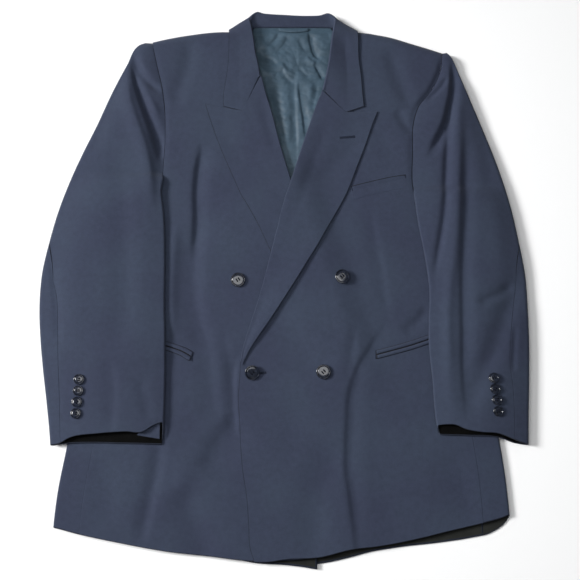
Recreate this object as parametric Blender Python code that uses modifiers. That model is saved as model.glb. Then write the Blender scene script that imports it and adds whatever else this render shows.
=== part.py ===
"""Double breasted blazer, buttoned and laid flat on its back.

Every piece of cloth is a sheet: a grid whose points are placed by a function of its two
directions, and thickened by a Solidify modifier away from the side that is seen.

Tables are in millimetres, in the garment's own frame: x runs toward the wearer's left, y toward
the collar, and x = 0 is the line where the lapels cross. Tables for one side use w, the distance
outward from that line. ORIGIN moves the garment so that the part's origin is at the middle of
its box, on the surface that it lies on.
"""
import math

import bmesh
import bpy
import numpy as np
from mathutils import Matrix, Vector
from mathutils.bvhtree import BVHTree

MM = 0.001
ORIGIN = (7.5, -17.0)

# Cloth
WALL = 1.6              # wool with its lining
THIN = 1.0              # satin and pocket trim
SEAM = 0.3              # between two pieces that are sewn together
LAY = 1.0               # between two panels that lie on each other
FOLD_TOP = 6.4          # height of the body's side fold
FOLD_RADIUS = 3.2
FOLD_REACH = 190.0      # how far in from the side fold the front is full height
SIDE_PANEL = 38.0       # width of the side panel on each face
SHOULDER_ROLL = 14.0    # radius with which the front turns over the shoulder
ROLL = 2.6              # radius with which a lapel turns back
BREAK = -98.0           # y just below the lowest place where the lapels turn back
IN_FOLD = 1.4           # gap between a front and its lapel, hidden inside the roll
SLEEVE_IN_RADIUS = 2.8
SLEEVE_OUT_RADIUS = 6.0
SLEEVE_OUT_TOP = 12.0   # height of the sleeve at its outer fold
SLEEVE_IN_TOP = 5.8     # height of the sleeve at its inner fold, above the front
IN_ARC = math.pi * SLEEVE_IN_RADIUS
IN_SEAM = 0.70          # share of the inner fold's half circle that belongs to the upper sleeve
UNDER_SKIP = 4          # rows of the sleeve's head that the undersleeve doesn't reach
SLEEVE_LIFT = 0.6       # under the sleeve, besides LAY
COLLAR_LEAF = 2.4       # height of the leaf and the lapels above what they lie on
COLLAR_WALL = 1.2
COLLAR_FOLD = 2.2       # radius of the collar's fold
BACK_RAISED = 2.2       # the back lies this much higher where the collar leaf is under it

# Height of the front above the surface, along the middle: y, height
CROWN = [(-390, 9.6), (-300, 10.3), (-200, 11.3), (-60, 13.2), (100, 15.3), (250, 16.5), (330, 16), (410, 15)]

# Long soft troughs that the wearer's shape leaves in the cloth:
# name, path as (x, y) points, depth, half width
DRAPES = [
    ("right front dart", [(-133, 240), (-128, 153), (-135, 47), (-147, -15), (-158, -90)], 2.2, 26),
    ("right front ridge", [(-170, 10), (-172, -60), (-150, -130)], -1.2, 26),
    ("left front dart", [(122, 130), (134, 20), (139, -30), (146, -90)], 1.0, 26),
    ("skirt", [(-188, -225), (-196, -268), (-200, -325), (-206, -370)], 1.4, 26),
    ("skirt ridge", [(-105, -215), (-125, -270), (-138, -330)], -1.2, 26),
]

SIDES = {
    "right": dict(
        sign=-1,
        # w, y along the shoulder
        shoulder=[(62, 396), (75, 397), (95, 398), (117, 398), (148, 395), (178, 390), (205, 383),
                  (228, 377)],
        # y, w
        armhole=[(383, 209), (367, 206), (341, 200), (313, 193), (288, 189), (234, 186), (190, 188),
                 (152, 193), (115, 207), (88, 240)],
        back_armhole=[(383, 213), (330, 204), (250, 202), (180, 206), (125, 218), (88, 240)],
        side=[(430, 248), (81, 278), (-58, 290), (-147, 304), (-228, 318), (-288, 328), (-333, 332),
              (-360, 333)],
        inner_fold=[(383, 205), (152, 190), (112, 185), (54, 182), (-20, 181), (-72, 179), (-154, 178),
                    (-221, 179)],
        outer_fold=[(380, 223), (364, 233), (350, 240.5), (332, 250), (296, 267), (257, 283), (212, 303),
                    (168, 321), (119, 337), (70, 349), (31, 357), (-16, 359.5), (-70, 355), (-120, 348),
                    (-163, 342), (-206, 337), (-223, 335)],
        elbow_seam=[(15, 14), (-5, 20), (-58, 22), (-106, 19), (-208, 11)],
        # w, y
        cuff_upper=[(178, -190), (187, -192), (197, -197), (206, -203), (232, -203.5), (269, -206),
                    (314, -213), (330, -221), (338, -222)],
        cuff_lower=[(178, -221), (232, -220), (272, -219), (314, -220), (338, -223)],
        hem=[(-90, -381), (50, -381), (55, -381), (110, -375), (174, -368), (244, -355), (298, -343),
             (330, -333), (336, -332)],
        back_hem=[(-40, -393), (-38, -393), (-18, -390), (9, -387), (48, -385), (110, -371), (174, -364),
                  (244, -351), (298, -340), (330, -332), (336, -331)],
        sleeve_top=381.0,
    ),
    "left": dict(
        sign=1,
        shoulder=[(62, 396), (75, 397), (95, 398), (117, 396), (129, 394), (155, 389), (185, 378),
                  (212, 369.5), (243, 362)],
        armhole=[(367, 230), (357, 230), (345, 229), (333, 226), (303, 211), (280, 193), (264, 187),
                 (205, 182), (147, 183), (112, 196), (88, 226)],
        back_armhole=[(367, 231), (320, 218), (250, 206), (180, 201), (125, 206), (88, 226)],
        side=[(430, 236), (81, 264), (-58, 275), (-147, 288), (-221, 299), (-264, 304.5), (-325, 309),
              (-360, 310)],
        inner_fold=[(367, 236), (147, 182), (103, 187), (52, 196), (-5, 202), (-45, 200), (-72, 199),
                    (-127, 203), (-196, 208), (-222, 213)],
        outer_fold=[(364, 242), (357, 244), (347, 248), (326, 256), (289, 271), (236, 291), (186, 308),
                    (128, 324), (68, 335), (19, 342), (-16, 343.5), (-70, 344), (-125, 342),
                    (-179, 339), (-222, 337)],
        elbow_seam=[(15, 14), (-26, 21), (-63, 26), (-97, 28), (-155, 22), (-202, 20)],
        cuff_upper=[(203, -196), (225, -193.5), (236, -194), (249, -200), (269, -204), (296, -206.5),
                    (311, -212), (330, -219), (338, -221)],
        cuff_lower=[(203, -207), (220, -208), (253, -209), (297, -212), (318, -219), (338, -222)],
        hem=[(-60, -381), (-50, -381), (-24, -381), (-12, -379), (44, -375), (83, -365), (125, -360),
             (154, -355), (185, -349), (214, -342), (245, -336), (275, -330), (300, -326), (312, -324)],
        back_hem=[(-6, -384), (46, -382), (84, -374), (111, -367), (147, -361), (216, -353),
                  (255, -347), (282, -342), (301, -335), (312, -327)],
        sleeve_top=365.0,
    ),
}

# y, x: the edges where a lapel turns back, each down to its front's free edge and the hem
LEFT_ROLL = [(425, 64), (399, 62), (351, 58), (303, 48), (288, 42), (253, 30), (210, 16), (187, 9),
             (159, 0), (129, -9.5), (82, -21), (54, -28), (-5, -43), (-52, -58), (-91, -69), (-115, -72)]
LEFT_EDGE = [(-92, -71), (-115, -71.5), (-138, -73), (-156, -74), (-187, -72), (-225, -70),
             (-257, -67), (-294, -61), (-332, -58), (-367, -55), (-381, -50)]
RIGHT_ROLL = [(425, -55), (399, -55), (375, -54), (351, -49), (332, -44), (303, -37), (269, -27),
              (225, -16), (190, -6), (159, 3.5), (105, 20.5), (45, 40), (-15, 60), (-75, 78), (-115, 90)]
RIGHT_EDGE = [(-92, 85), (-126, 92), (-145, 87), (-163, 84), (-190, 84), (-222, 81), (-261, 81),
              (-287, 85), (-348, 90), (-381, 92)]
# y, x: the outer edges of the lapels, from the tips of their peaks
LEFT_LAPEL = [(270, 131), (253, 124), (221, 113), (187, 100), (155, 88), (126, 75), (94, 58), (63, 41),
              (39, 25), (12, 9), (-14, -9), (-42, -26), (-63, -43), (-84, -56), (-98, -64)]
RIGHT_LAPEL = [(282, -127), (270, -123), (250, -116), (218, -104), (183, -89), (149, -74), (111, -56),
               (80, -41), (54, -28), (12, -6), (-14, 13), (-42, 32), (-63, 48), (-84, 64), (-98, 74)]
# x, y: the upper edges of the lapels, from the roll along the gorge seam to the tip of the peak
LEFT_GORGE = [(48, 301), (83, 266.5), (100, 267.5), (131, 270)]
RIGHT_GORGE = [(-127, 282), (-98, 275), (-71, 268.5), (-44, 323)]
NOTCH = {"left": (83, 266.5), "right": (-71, 268.5)}
# y, x: where each front's neck edge leaves the roll, under the collar
LEFT_NECK = [(300, 52), (308, 62), (322, 69), (340, 76), (365, 82), (397, 87)]
RIGHT_NECK = [(322, -48), (330, -58), (345, -66), (360, -71), (378, -75), (397, -79)]

# The collar's sections from the wearer's right front end, round the back neck, to the left one.
# Each has its neck seam, fold, middle of the leaf and leaf edge, as x, y and z. A z of None is
# the leaf's height above the front.
COLLAR = [
    ((-50, 326.5, 14.3), (-44.5, 325.5, 17.8), (-70.5, 270.5, None), (-100, 278.5, None)),
    ((-61, 342, 14.3), (-47.5, 345, 17.8), (-78, 309, None), (-100, 297, None)),
    ((-67.5, 361, 14.0), (-52, 366, 17.6), (-76, 343, None), (-96, 325, None)),
    ((-71.5, 380, 12.8), (-55, 388, 16.6), (-75, 372, None), (-93, 355, None)),
    ((-72, 393, 10.0), (-57, 404, 13.6), (-76, 394, 16.6), (-92.5, 389, 17.6)),
    ((-67, 401, 7.0), (-57, 416, 9.0), (-76, 410, 8.6), (-91, 403.5, 8.0)),
    ((-58, 404, 4.4), (-50, 425, 2.6), (-60.5, 413, 0.1), (-80, 401, 0.0)),
    ((-44, 404.3, 4.3), (-39, 424, 2.3), (-44, 404, 0.0), (-58, 379, 0.0)),
    ((-15, 404.3, 4.3), (-10, 422.5, 2.2), (-13, 400, 0.0), (-18, 376, 0.0)),
    ((18, 404.3, 4.3), (19, 421.5, 2.2), (20, 400, 0.0), (24, 376, 0.0)),
    ((48, 404.3, 4.3), (44, 421, 2.3), (50, 403, 0.0), (64, 379, 0.0)),
    ((64, 404, 4.4), (58, 424, 2.6), (68.5, 412, 0.1), (88, 400, 0.0)),
    ((74, 401, 7.0), (65, 416, 9.0), (84, 409, 8.6), (101, 402.5, 8.0)),
    ((79, 393, 10.0), (65, 402, 13.6), (85, 393, 16.6), (103.5, 388.5, 17.6)),
    ((79.5, 379, 12.8), (62.5, 384, 16.6), (83, 370, None), (104, 356, None)),
    ((76.5, 360, 14.0), (60, 362, 17.6), (85, 342, None), (107, 328, None)),
    ((69, 334, 14.3), (56, 336, 17.8), (86, 308, None), (109, 299, None)),
    ((54.5, 306.5, 14.3), (49, 303.3, 17.8), (83.6, 268.3, None), (111, 278.5, None)),
]

BUTTON = dict(radius=10.2, height=3.2, rim=1.5, dish=0.7, hole=1.1, pitch=2.3, steps=14)
CUFF_BUTTON = dict(radius=7.4, height=2.6, rim=1.1, dish=0.5, hole=0, steps=12)
# node, x, y
FRONT_BUTTONS = [("button_1", -76, 14), ("button_2", 77, 19), ("button_3", -54, -121), ("button_4", 48, -119)]
CUFF_BUTTONS = {
    "right": [(300, -130), (300.5, -146), (302, -162), (303, -178)],
    "left": [(290, -128), (291, -143.5), (293, -159), (294, -175)],
}
# Pocket openings as x, y points
CHEST_WELT = [(90, 154.5), (103, 158), (125, 163.5), (147, 168.5), (171, 172.5)]
HIP_POCKET = {
    "right": [(-141, -97), (-153, -90), (-169, -84), (-182, -80), (-210, -71), (-245, -60)],
    "left": [(124, -94), (143, -89), (172, -81), (202, -71), (232, -61)],
}
CHEST_WELT_HEIGHT = 19.0
JET_WIDTH = 4.4
JET_RISE = 1.5

WOOL = (0.026, 0.033, 0.055)
SATIN = (0.045, 0.075, 0.105)
HORN = (0.008, 0.009, 0.013)


# ---------------------------------------------------------------- curves and heights

def along(table, straight=False):
    """Read a table of (at, value) rows as a curve, level past its ends."""
    rows = sorted(table)
    at = np.array([row[0] for row in rows], float)
    value = np.array([row[1] for row in rows], float)
    slope = np.gradient(value, at)

    def read(t):
        t = min(max(t, at[0]), at[-1])
        if straight:
            return float(np.interp(t, at, value))
        i = min(max(int(np.searchsorted(at, t)) - 1, 0), len(at) - 2)
        span = at[i + 1] - at[i]
        s = (t - at[i]) / span
        rise = value[i + 1] - value[i]
        start, end = slope[i] * span, slope[i + 1] * span
        return float(value[i] + s * (start + s * (3 * rise - 2 * start - end + s * (start + end - 2 * rise))))
    return read


def mix(a, b, t):
    return a + (b - a) * t


def ease(t):
    t = min(max(t, 0.0), 1.0)
    return t * t * (3 - 2 * t)


def quarter(t):
    """Height along a quarter circle: 0 at t = 0, 1 from t = 1 on."""
    t = min(max(t, 0.0), 1.0)
    return math.sqrt(1 - (1 - t) ** 2)


def path_distance(x, y, points):
    """Distance from (x, y) to a path, and how far along the path the nearest place is, 0 to 1."""
    best, place, travelled = 1e9, 0.0, 0.0
    total = sum(math.dist(a, b) for a, b in zip(points, points[1:]))
    for a, b in zip(points, points[1:]):
        length = math.dist(a, b)
        t = ((x - a[0]) * (b[0] - a[0]) + (y - a[1]) * (b[1] - a[1])) / length ** 2
        t = min(max(t, 0.0), 1.0)
        distance = math.dist((x, y), (mix(a[0], b[0], t), mix(a[1], b[1], t)))
        if distance < best:
            best, place = distance, (travelled + t * length) / total
        travelled += length
    return best, place


CURVES = {}
for side_name, table in SIDES.items():
    CURVES[side_name] = {key: along(rows) for key, rows in table.items() if isinstance(rows, list)}
crown_at = along(CROWN)
left_roll_at, left_edge_at = along(LEFT_ROLL), along(LEFT_EDGE)
right_roll_at, right_edge_at = along(RIGHT_ROLL), along(RIGHT_EDGE)
left_lapel_at, right_lapel_at = along(LEFT_LAPEL), along(RIGHT_LAPEL)
left_gorge_at, right_gorge_at = along(LEFT_GORGE, True), along(RIGHT_GORGE, True)
left_neck_at, right_neck_at = along(LEFT_NECK), along(RIGHT_NECK)


def side_of(x):
    return "right" if x < 0 else "left"


def back_top(x, y):
    """Upper face of the back, which rises over the collar's hidden leaf."""
    return WALL + back_raise(x, y)


def back_raise(x, y):
    middle = abs(x - 5)
    return BACK_RAISED * ease((y - 290) / 75) * ease((165 - middle) / 60)


def shoulder_roll(x, y):
    """1 on the front, down to 0 at the shoulder line."""
    side = side_of(x)
    line = CURVES[side]["shoulder"](abs(x))
    return quarter((line - y) / SHOULDER_ROLL)


def drape(x, y):
    """How much the long troughs lower the cloth at (x, y)."""
    total = 0.0
    for _, points, depth, width in DRAPES:
        distance, place = path_distance(x, y, points)
        if distance < 3 * width:
            total += depth * math.exp(-(distance / width) ** 2) * ease(min(place, 1 - place) * 4)
    return total


def side_level(side, y):
    """Where the front's height would come down to the side fold: further out above the underarm."""
    return CURVES[side]["side"](y) + 80 * ease((y - 75) / 130)


def inner_front(x, y):
    """Upper face of the front that lies next to the hollow of the body."""
    side = side_of(x)
    inside = side_level(side, y) - abs(x)
    t = min(max(inside / FOLD_REACH, 0.0), 1.0)
    height = FOLD_TOP + (crown_at(y) - FOLD_TOP) * (1 - (1 - t) ** 2)
    height -= drape(x, y) * ease(inside / 60)
    edge = back_top(x, y) + SEAM + 1.0
    return edge + (height - edge) * shoulder_roll(x, y)


def under_lap(x, y):
    """How much the left front is lifted by the right front and its lapel under it."""
    edge = mix(right_edge_at(y), right_roll_at(y), ease((y + 115) / 30))
    fade = ease((230 - y) / 60)
    lift = (WALL + LAY + 0.4) * ease((edge + 48 - x) / 44)
    lapel_span = ease((x - right_lapel_at(y) + 58) / 56) * ease((edge + 60 - x) / 56)
    lift += (COLLAR_LEAF + 0.8) * lapel_span * ease((y + 165) / 60)
    return lift * fade


def outer_front(x, y):
    """Upper face of the left front, which laps over the right one."""
    return inner_front(x, y) + under_lap(x, y)


def left_front_inner(y):
    """The left front's inner edge, from neck to hem, just inside the roll."""
    if y > 303:
        return left_neck_at(y) + SEAM
    turned = left_roll_at(y) + ROLL + IN_FOLD
    return mix(left_edge_at(y), turned, ease((y - BREAK + 8) / 6))


def right_front_inner(y):
    if y > 322:
        return right_neck_at(y) - SEAM
    turned = right_roll_at(y) - ROLL - IN_FOLD
    return mix(right_edge_at(y), turned, ease((y - BREAK + 8) / 6))


# ---------------------------------------------------------------- sheets

def lie_on(thing, fallback):
    """Read the height of a finished piece from above, and of its formula beyond its edges."""
    bpy.context.view_layer.update()
    tree = BVHTree.FromObject(thing, bpy.context.evaluated_depsgraph_get())
    down = Vector((0, 0, -1))

    def height(x, y):
        spot = tree.ray_cast(Vector(((x + ORIGIN[0]) * MM, (y + ORIGIN[1]) * MM, 0.2)), down)[0]
        return spot.z / MM if spot else fallback(x, y)
    return height


def new_object(name, mesh, material):
    mesh.name = name
    thing = bpy.data.objects.new(name, mesh)
    mesh.materials.append(material)
    collection.objects.link(thing)
    return thing


def sheet(name, columns, rows, place, material, wall=WALL, flip=False):
    """A grid placed by place(u, v) in mm, thickened away from the side that is seen."""
    form = bmesh.new()
    bmesh.ops.create_grid(form, x_segments=columns, y_segments=rows, size=1.0)
    for vertex in form.verts:
        column = round((vertex.co.x + 1) / 2 * columns)
        row = round((vertex.co.y + 1) / 2 * rows)
        x, y, z = place(column, row)
        vertex.co = ((x + ORIGIN[0]) * MM, (y + ORIGIN[1]) * MM, z * MM)
    if flip:
        bmesh.ops.reverse_faces(form, faces=form.faces)
    mesh = bpy.data.meshes.new(name)
    form.to_mesh(mesh)
    form.free()
    mesh.shade_smooth()
    thing = new_object(name, mesh, material)
    solidify = thing.modifiers.new("wall", "SOLIDIFY")
    solidify.thickness = wall * MM
    solidify.offset = -1.0
    facets = thing.modifiers.new("facets", "TRIANGULATE")
    facets.quad_method = "BEAUTY"
    return thing


def graded(lead, lead_length, count, length):
    """Fractions from 0 to 1 whose first steps follow a quarter circle of lead_length."""
    steps = [lead_length * (1 - math.cos(math.pi / 2 * i / lead)) for i in range(lead)]
    steps += [mix(lead_length, length, i / (count - lead)) for i in range(count - lead + 1)]
    return [step / length for step in steps]


def settle(y_line, w_first, w_at, y_at):
    """A point of a panel: y follows the panel's ends at w, and w its sides at y."""
    w = w_first
    for _ in range(3):
        y = y_at(w, y_line)
        w = w_at(y)
    return w, y


def panel_point(u, v, inner, outer, top, hem, ends, fade):
    """A point of a panel between two sides w(y) and two ends y(w).

    ends has y at the inner and outer corner of the top, then of the hem. The ends' curves fade
    out over the panel's length with the power fade.
    """
    y_line = mix(mix(ends[0], ends[2], v), mix(ends[1], ends[3], v), u)
    line_top, line_hem = mix(ends[0], ends[1], u), mix(ends[2], ends[3], u)

    def y_at(w, y):
        return y + (1 - v) ** fade * (top(w) - line_top) + v ** fade * (hem(w) - line_hem)

    return settle(y_line, mix(inner(y_line), outer(y_line), u),
                  lambda y: mix(inner(y), outer(y), u), y_at)


def back_panel(side, material):
    """Half of the back, flat on the surface, from the centre seam to the side seam."""
    curve, sign = CURVES[side], SIDES[side]["sign"]
    columns, rows = 7, 21
    centre = 4.0

    def inner(y):
        vent = mix(0, 34, ease((-150 - y) / 26)) if side == "right" else 0.0
        return sign * (centre + sign * SEAM / 2 + vent)

    def outer(y):
        seam = curve["side"](y) - SIDE_PANEL
        return (curve["back_armhole"](y) if y > 88 else seam) - SEAM

    def top(w):
        neck = mix(404.0 - SEAM, 396.6, ease((w - 50) / 16))
        return curve["shoulder"](w) - 0.4 if w > 66 else neck

    def place(column, row):
        ends = (404.0 - SEAM, SIDES[side]["sleeve_top"] - 1.0, -386.0, -334.0)
        w, y = panel_point(column / columns, row / rows, inner, outer, top, curve["back_hem"], ends, 4)
        x = sign * w
        z = back_raise(x, y)
        if side == "right":
            z += 2.5 * ease((x + 60) / 50) * ease((-60 - y) / 55)
        return x, y, z
    return sheet(f"back_{side}", columns, rows, place, material, flip=sign < 0)


def side_panel(side, material):
    """The side panel: along the surface, round the side fold and back over the top."""
    curve, sign = CURVES[side], SIDES[side]["sign"]
    # distance inside the side fold, and how far up the fold: 0 below, 1 above
    stations = [(SIDE_PANEL, 0), (20, 0)]
    for i in range(6):
        angle = math.pi * i / 5
        stations.append((FOLD_RADIUS * (1 - math.sin(angle)), (1 - math.cos(angle)) / 2))
    stations += [(14, 1), (26, 1), (SIDE_PANEL, 1)]
    columns, rows = len(stations) - 1, 13

    def place(column, row):
        v = row / rows
        inside, up = stations[column]
        w, y = settle(0.0, curve["side"](mix(86.0, -330.0, v)) - inside,
                      lambda y: curve["side"](y) - inside,
                      lambda w, _: mix(86.0, mix(curve["back_hem"](w), curve["hem"](w), up), v))
        level = sign * (curve["side"](y) - max(inside, FOLD_RADIUS))
        height = outer_front(level, y) if side == "left" else inner_front(level, y)
        return sign * w, y, up * height
    return sheet(f"side_{side}", columns, rows, place, material, flip=sign < 0)


def front_panel(side, material):
    """A front, from its roll or free edge to the armhole and the side seam."""
    curve, sign = CURVES[side], SIDES[side]["sign"]
    left = side == "left"
    front_inner = left_front_inner if left else right_front_inner
    height = outer_front if left else inner_front
    columns = 12
    ends = (397.0, SIDES[side]["sleeve_top"] - 1.5, -381.0, -331.0)
    length = ends[0] - ends[2]
    above = graded(4, SHOULDER_ROLL, 20, ends[0] - BREAK)
    below = 10
    stops = [v * (ends[0] - BREAK) / length for v in above]
    stops += [(ends[0] - mix(BREAK - 9, ends[2], i / (below - 1))) / length for i in range(below)]
    rows = len(stops) - 1

    def outer(y):
        seam = curve["side"](y) - SIDE_PANEL
        return (curve["armhole"](y) if y > 88 else seam) - SEAM

    def place(column, row):
        w, y = panel_point(column / columns, stops[row], lambda y: sign * front_inner(y), outer,
                           curve["shoulder"], curve["hem"], ends, 4)
        return sign * w, y, height(sign * w, y)
    armhole_levels = [place(columns, row)[1] for row in range(rows + 1)]
    return sheet(f"front_{side}", columns, rows, place, material, flip=left), armhole_levels


def lapel(side, height, material):
    """A lapel: from the front's edge round the roll, then flat on the front to its outer edge."""
    left = side == "left"
    sign = 1 if left else -1
    roll = left_roll_at if left else right_roll_at
    outer_edge = left_lapel_at if left else right_lapel_at
    gorge = left_gorge_at if left else right_gorge_at
    arc, across = 4, 6
    columns, rows = arc + across, 17
    top_in, top_out = (301.0, 270.0) if left else (323.0, 282.0)
    low_in, low_out = -93.0, -96.0
    start, tip = roll(top_in) + sign * ROLL, outer_edge(top_out)
    notch = (NOTCH[side][0] - start) / (tip - start)

    def place(column, row):
        v = row / rows
        step = max(column - arc, 0) / across
        t = 2 * step * notch if step < 0.5 else mix(notch, 1.0, 2 * step - 1)
        inside, up = ROLL, 1.0
        if column <= arc:
            angle = math.pi * column / arc
            inside, up = ROLL * (1 - math.sin(angle)), (1 - math.cos(angle)) / 2
        y_in, y_out = mix(top_in, low_in, v), mix(top_out, low_out, v)
        x = mix(roll(y_in) + sign * inside, outer_edge(y_out), t)
        y = mix(y_in, y_out, t) + (1 - v) ** 3 * (gorge(x) - mix(top_in, top_out, t))
        ground = roll(y) + sign * (ROLL + IN_FOLD + 1) if t == 0 else x
        level = height(ground, y)
        soft = 1.6 * (1 - ease(t * 3.5)) * ease((y + 90) / 60)
        return x, y, mix(level - WALL, level + COLLAR_LEAF + soft, up)
    return sheet(f"lapel_{side}", columns, rows, place, material, flip=left)


def smooth_between(points, t):
    """A curve through a list of points, t from 0 to their number less one."""
    i = min(int(t), len(points) - 2)
    s = t - i
    a, b = points[i], points[i + 1]
    before = points[i - 1] if i > 0 else a * 2 - b
    after = points[i + 2] if i + 2 < len(points) else b * 2 - a
    start, end = (b - before) / 2, (after - a) / 2
    rise = b - a
    return a + (start + (rise * 3 - start * 2 - end + (start + end - rise * 2) * s) * s) * s


def collar_section(seam, fold, middle, edge, run):
    """One section of the collar: up the stand, round the fold, and down the leaf."""
    to_stand, to_leaf = (seam - fold).normalized(), (middle - fold).normalized()
    across = run.cross(to_stand).normalized()
    inward = to_stand + to_leaf
    inward = (inward - across * inward.dot(across)).normalized()
    centre = fold + inward * COLLAR_FOLD
    bend = []
    for i in range(5):
        angle = math.pi * (i / 4 - 0.5)
        bend.append(centre + (across * math.sin(angle) - inward * math.cos(angle)) * COLLAR_FOLD)
    stand = [seam.lerp(bend[0], i / 2) for i in range(2)]
    leaf = [bend[-1].lerp(middle, i / 3) for i in range(1, 4)]
    return stand + bend + leaf + [middle.lerp(edge, 0.5), edge]


def collar_piece(material):
    """The collar: stand, fold and leaf, through its sections round the neck."""
    guides = [[], [], [], []]
    for section in COLLAR:
        for guide, (x, y, z) in zip(guides, section):
            guide.append(Vector((x, y, inner_front(x, y) + COLLAR_LEAF if z is None else z)))
    last = len(COLLAR) - 1
    corners = [4, last - 7]
    stops = sorted(list(range(last + 1)) + [first + i + 0.5 for first in corners for i in range(3)])
    sections = []
    for stop in stops:
        fold = guides[1]
        run = smooth_between(fold, min(stop + 0.2, last)) - smooth_between(fold, max(stop - 0.2, 0))
        sections.append(collar_section(*(smooth_between(guide, stop) for guide in guides), run))

    def place(column, row):
        return tuple(sections[row][column])
    columns, rows = len(sections[0]) - 1, len(sections) - 1
    return sheet("collar", columns, rows, place, material, wall=COLLAR_WALL, flip=True)


# ---------------------------------------------------------------- sleeves

def openness(y):
    """0 where the sleeve stands above the front at its inner fold, 1 where it is level with it."""
    return ease((y - 140) / 25)


def at_armhole(y):
    """0 where the inner fold has left the armhole, 1 along the seam."""
    return ease((y - 118) / 27)


def turned_under(y):
    """0 where the upper sleeve ends at the armhole, 1 where it goes on round the inner fold."""
    return ease((160 - y) / 66)


def sleeve_bottom(side, w, y):
    """Underside of the sleeve: on the front near the body, on the surface beyond its side fold."""
    curve, sign = CURVES[side], SIDES[side]["sign"]
    inside = curve["side"](y) - w
    level = sign * min(w, curve["side"](y) - FOLD_RADIUS)
    on_body = (outer_front(level, y) if side == "left" else inner_front(level, y)) + LAY + SLEEVE_LIFT
    pocket = path_distance(sign * w, y, HIP_POCKET[side])[0]
    on_body += JET_RISE * ease((32 - pocket) / 16)
    on_body += 0.7 * math.exp(-((y - 132) / 18) ** 2)
    near_front = ease((curve["armhole"](y) + 36 - w) / 22) * ease((170 - y) / 22)
    return on_body * ease((inside + 26) / 22) * max(ease((190 - y) / 90), near_front)


def sleeve_top(side, w, y):
    """Upper face of the sleeve."""
    curve, sign = CURVES[side], SIDES[side]["sign"]
    outer_w = curve["outer_fold"](y) - outer_radius(side, y)
    joined = openness(y)
    tube_w = inner_fold_at(side, y) + SLEEVE_IN_RADIUS
    cap_w = curve["armhole"](y)
    tube_start = sleeve_bottom(side, tube_w, y) + SLEEVE_IN_TOP
    front = outer_front if side == "left" else inner_front
    cap_start = front(sign * (cap_w - 1), y)

    def dome(start_w, start, crown):
        t = min(max((w - start_w) / max(outer_w - start_w, 1.0), 0.0), 1.0)
        rise = crown * ease((outer_w - start_w) / 60)
        return mix(start, SLEEVE_OUT_TOP, t ** 1.7) + rise * 4 * t * (1 - t)

    tube = dome(tube_w, tube_start, 5.5)
    cap = dome(cap_w, cap_start, 4.0)
    valley = 3.2 * math.exp(-((w - cap_w - 15) / 9) ** 2) * ease((y - 95) / 60) * ease((350 - y) / 70)
    height = mix(tube, cap, joined) - valley
    from_top = SIDES[side]["sleeve_top"] + 1.5 - y
    low = 5.6
    return low + (height - low) * quarter(from_top / SHOULDER_ROLL)


def squeeze_at(side, y):
    """1 along most of the sleeve, less where it narrows toward the shoulder point."""
    width = CURVES[side]["outer_fold"](y) - CURVES[side]["armhole"](y)
    return min(1.0, width / 74) if y > 150 else 1.0


def outer_radius(side, y):
    return SLEEVE_OUT_RADIUS * max(squeeze_at(side, y), 0.4)


def outer_station(side, y, q):
    """A place q mm along the section from the outermost point, positive on the upper face."""
    radius = outer_radius(side, y)
    reach = radius * math.pi / 2
    edge = CURVES[side]["outer_fold"](y)
    if abs(q) >= reach:
        return edge - radius - (abs(q) - reach), 1.0 if q > 0 else 0.0
    angle = q / reach * math.pi / 2
    return edge - radius + radius * math.cos(angle), (1 + math.sin(angle)) / 2


def inner_fold_at(side, y):
    curve = CURVES[side]
    return mix(curve["inner_fold"](y), curve["armhole"](y) + SEAM - SLEEVE_IN_RADIUS, at_armhole(y))


def inner_place(side, y, p):
    """A place p mm along the section from the top of the inner fold: below 0 it turns under."""
    fold, radius = inner_fold_at(side, y), SLEEVE_IN_RADIUS
    if p >= 0:
        return fold + radius + p, 1.0
    angle = math.pi * (1 + max(p / IN_ARC, -1))
    return fold + radius * (1 - math.sin(angle)), (1 - math.cos(angle)) / 2


def inner_stations(side, y):
    """The first places of the upper sleeve: round the inner fold, or out from the armhole."""
    tube = [IN_ARC * share for share in (-IN_SEAM, 0.08 - IN_SEAM, -0.42, -0.21, 0)] + [10.0]
    return [inner_place(side, y, mix(i * 4.0, p, turned_under(y))) for i, p in enumerate(tube)]


def turning(y):
    """0 where the elbow seam is on the upper face, 1 where it has gone round underneath."""
    return ease((y - 12) / 130)


def elbow_offset(side, y):
    """Where the elbow seam lies, along the section from the outermost point."""
    seam = CURVES[side]["elbow_seam"](y)
    quarter_arc = SLEEVE_OUT_RADIUS * (math.pi / 2 - 1)
    return mix(seam + quarter_arc, -18.0, turning(y))


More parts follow.
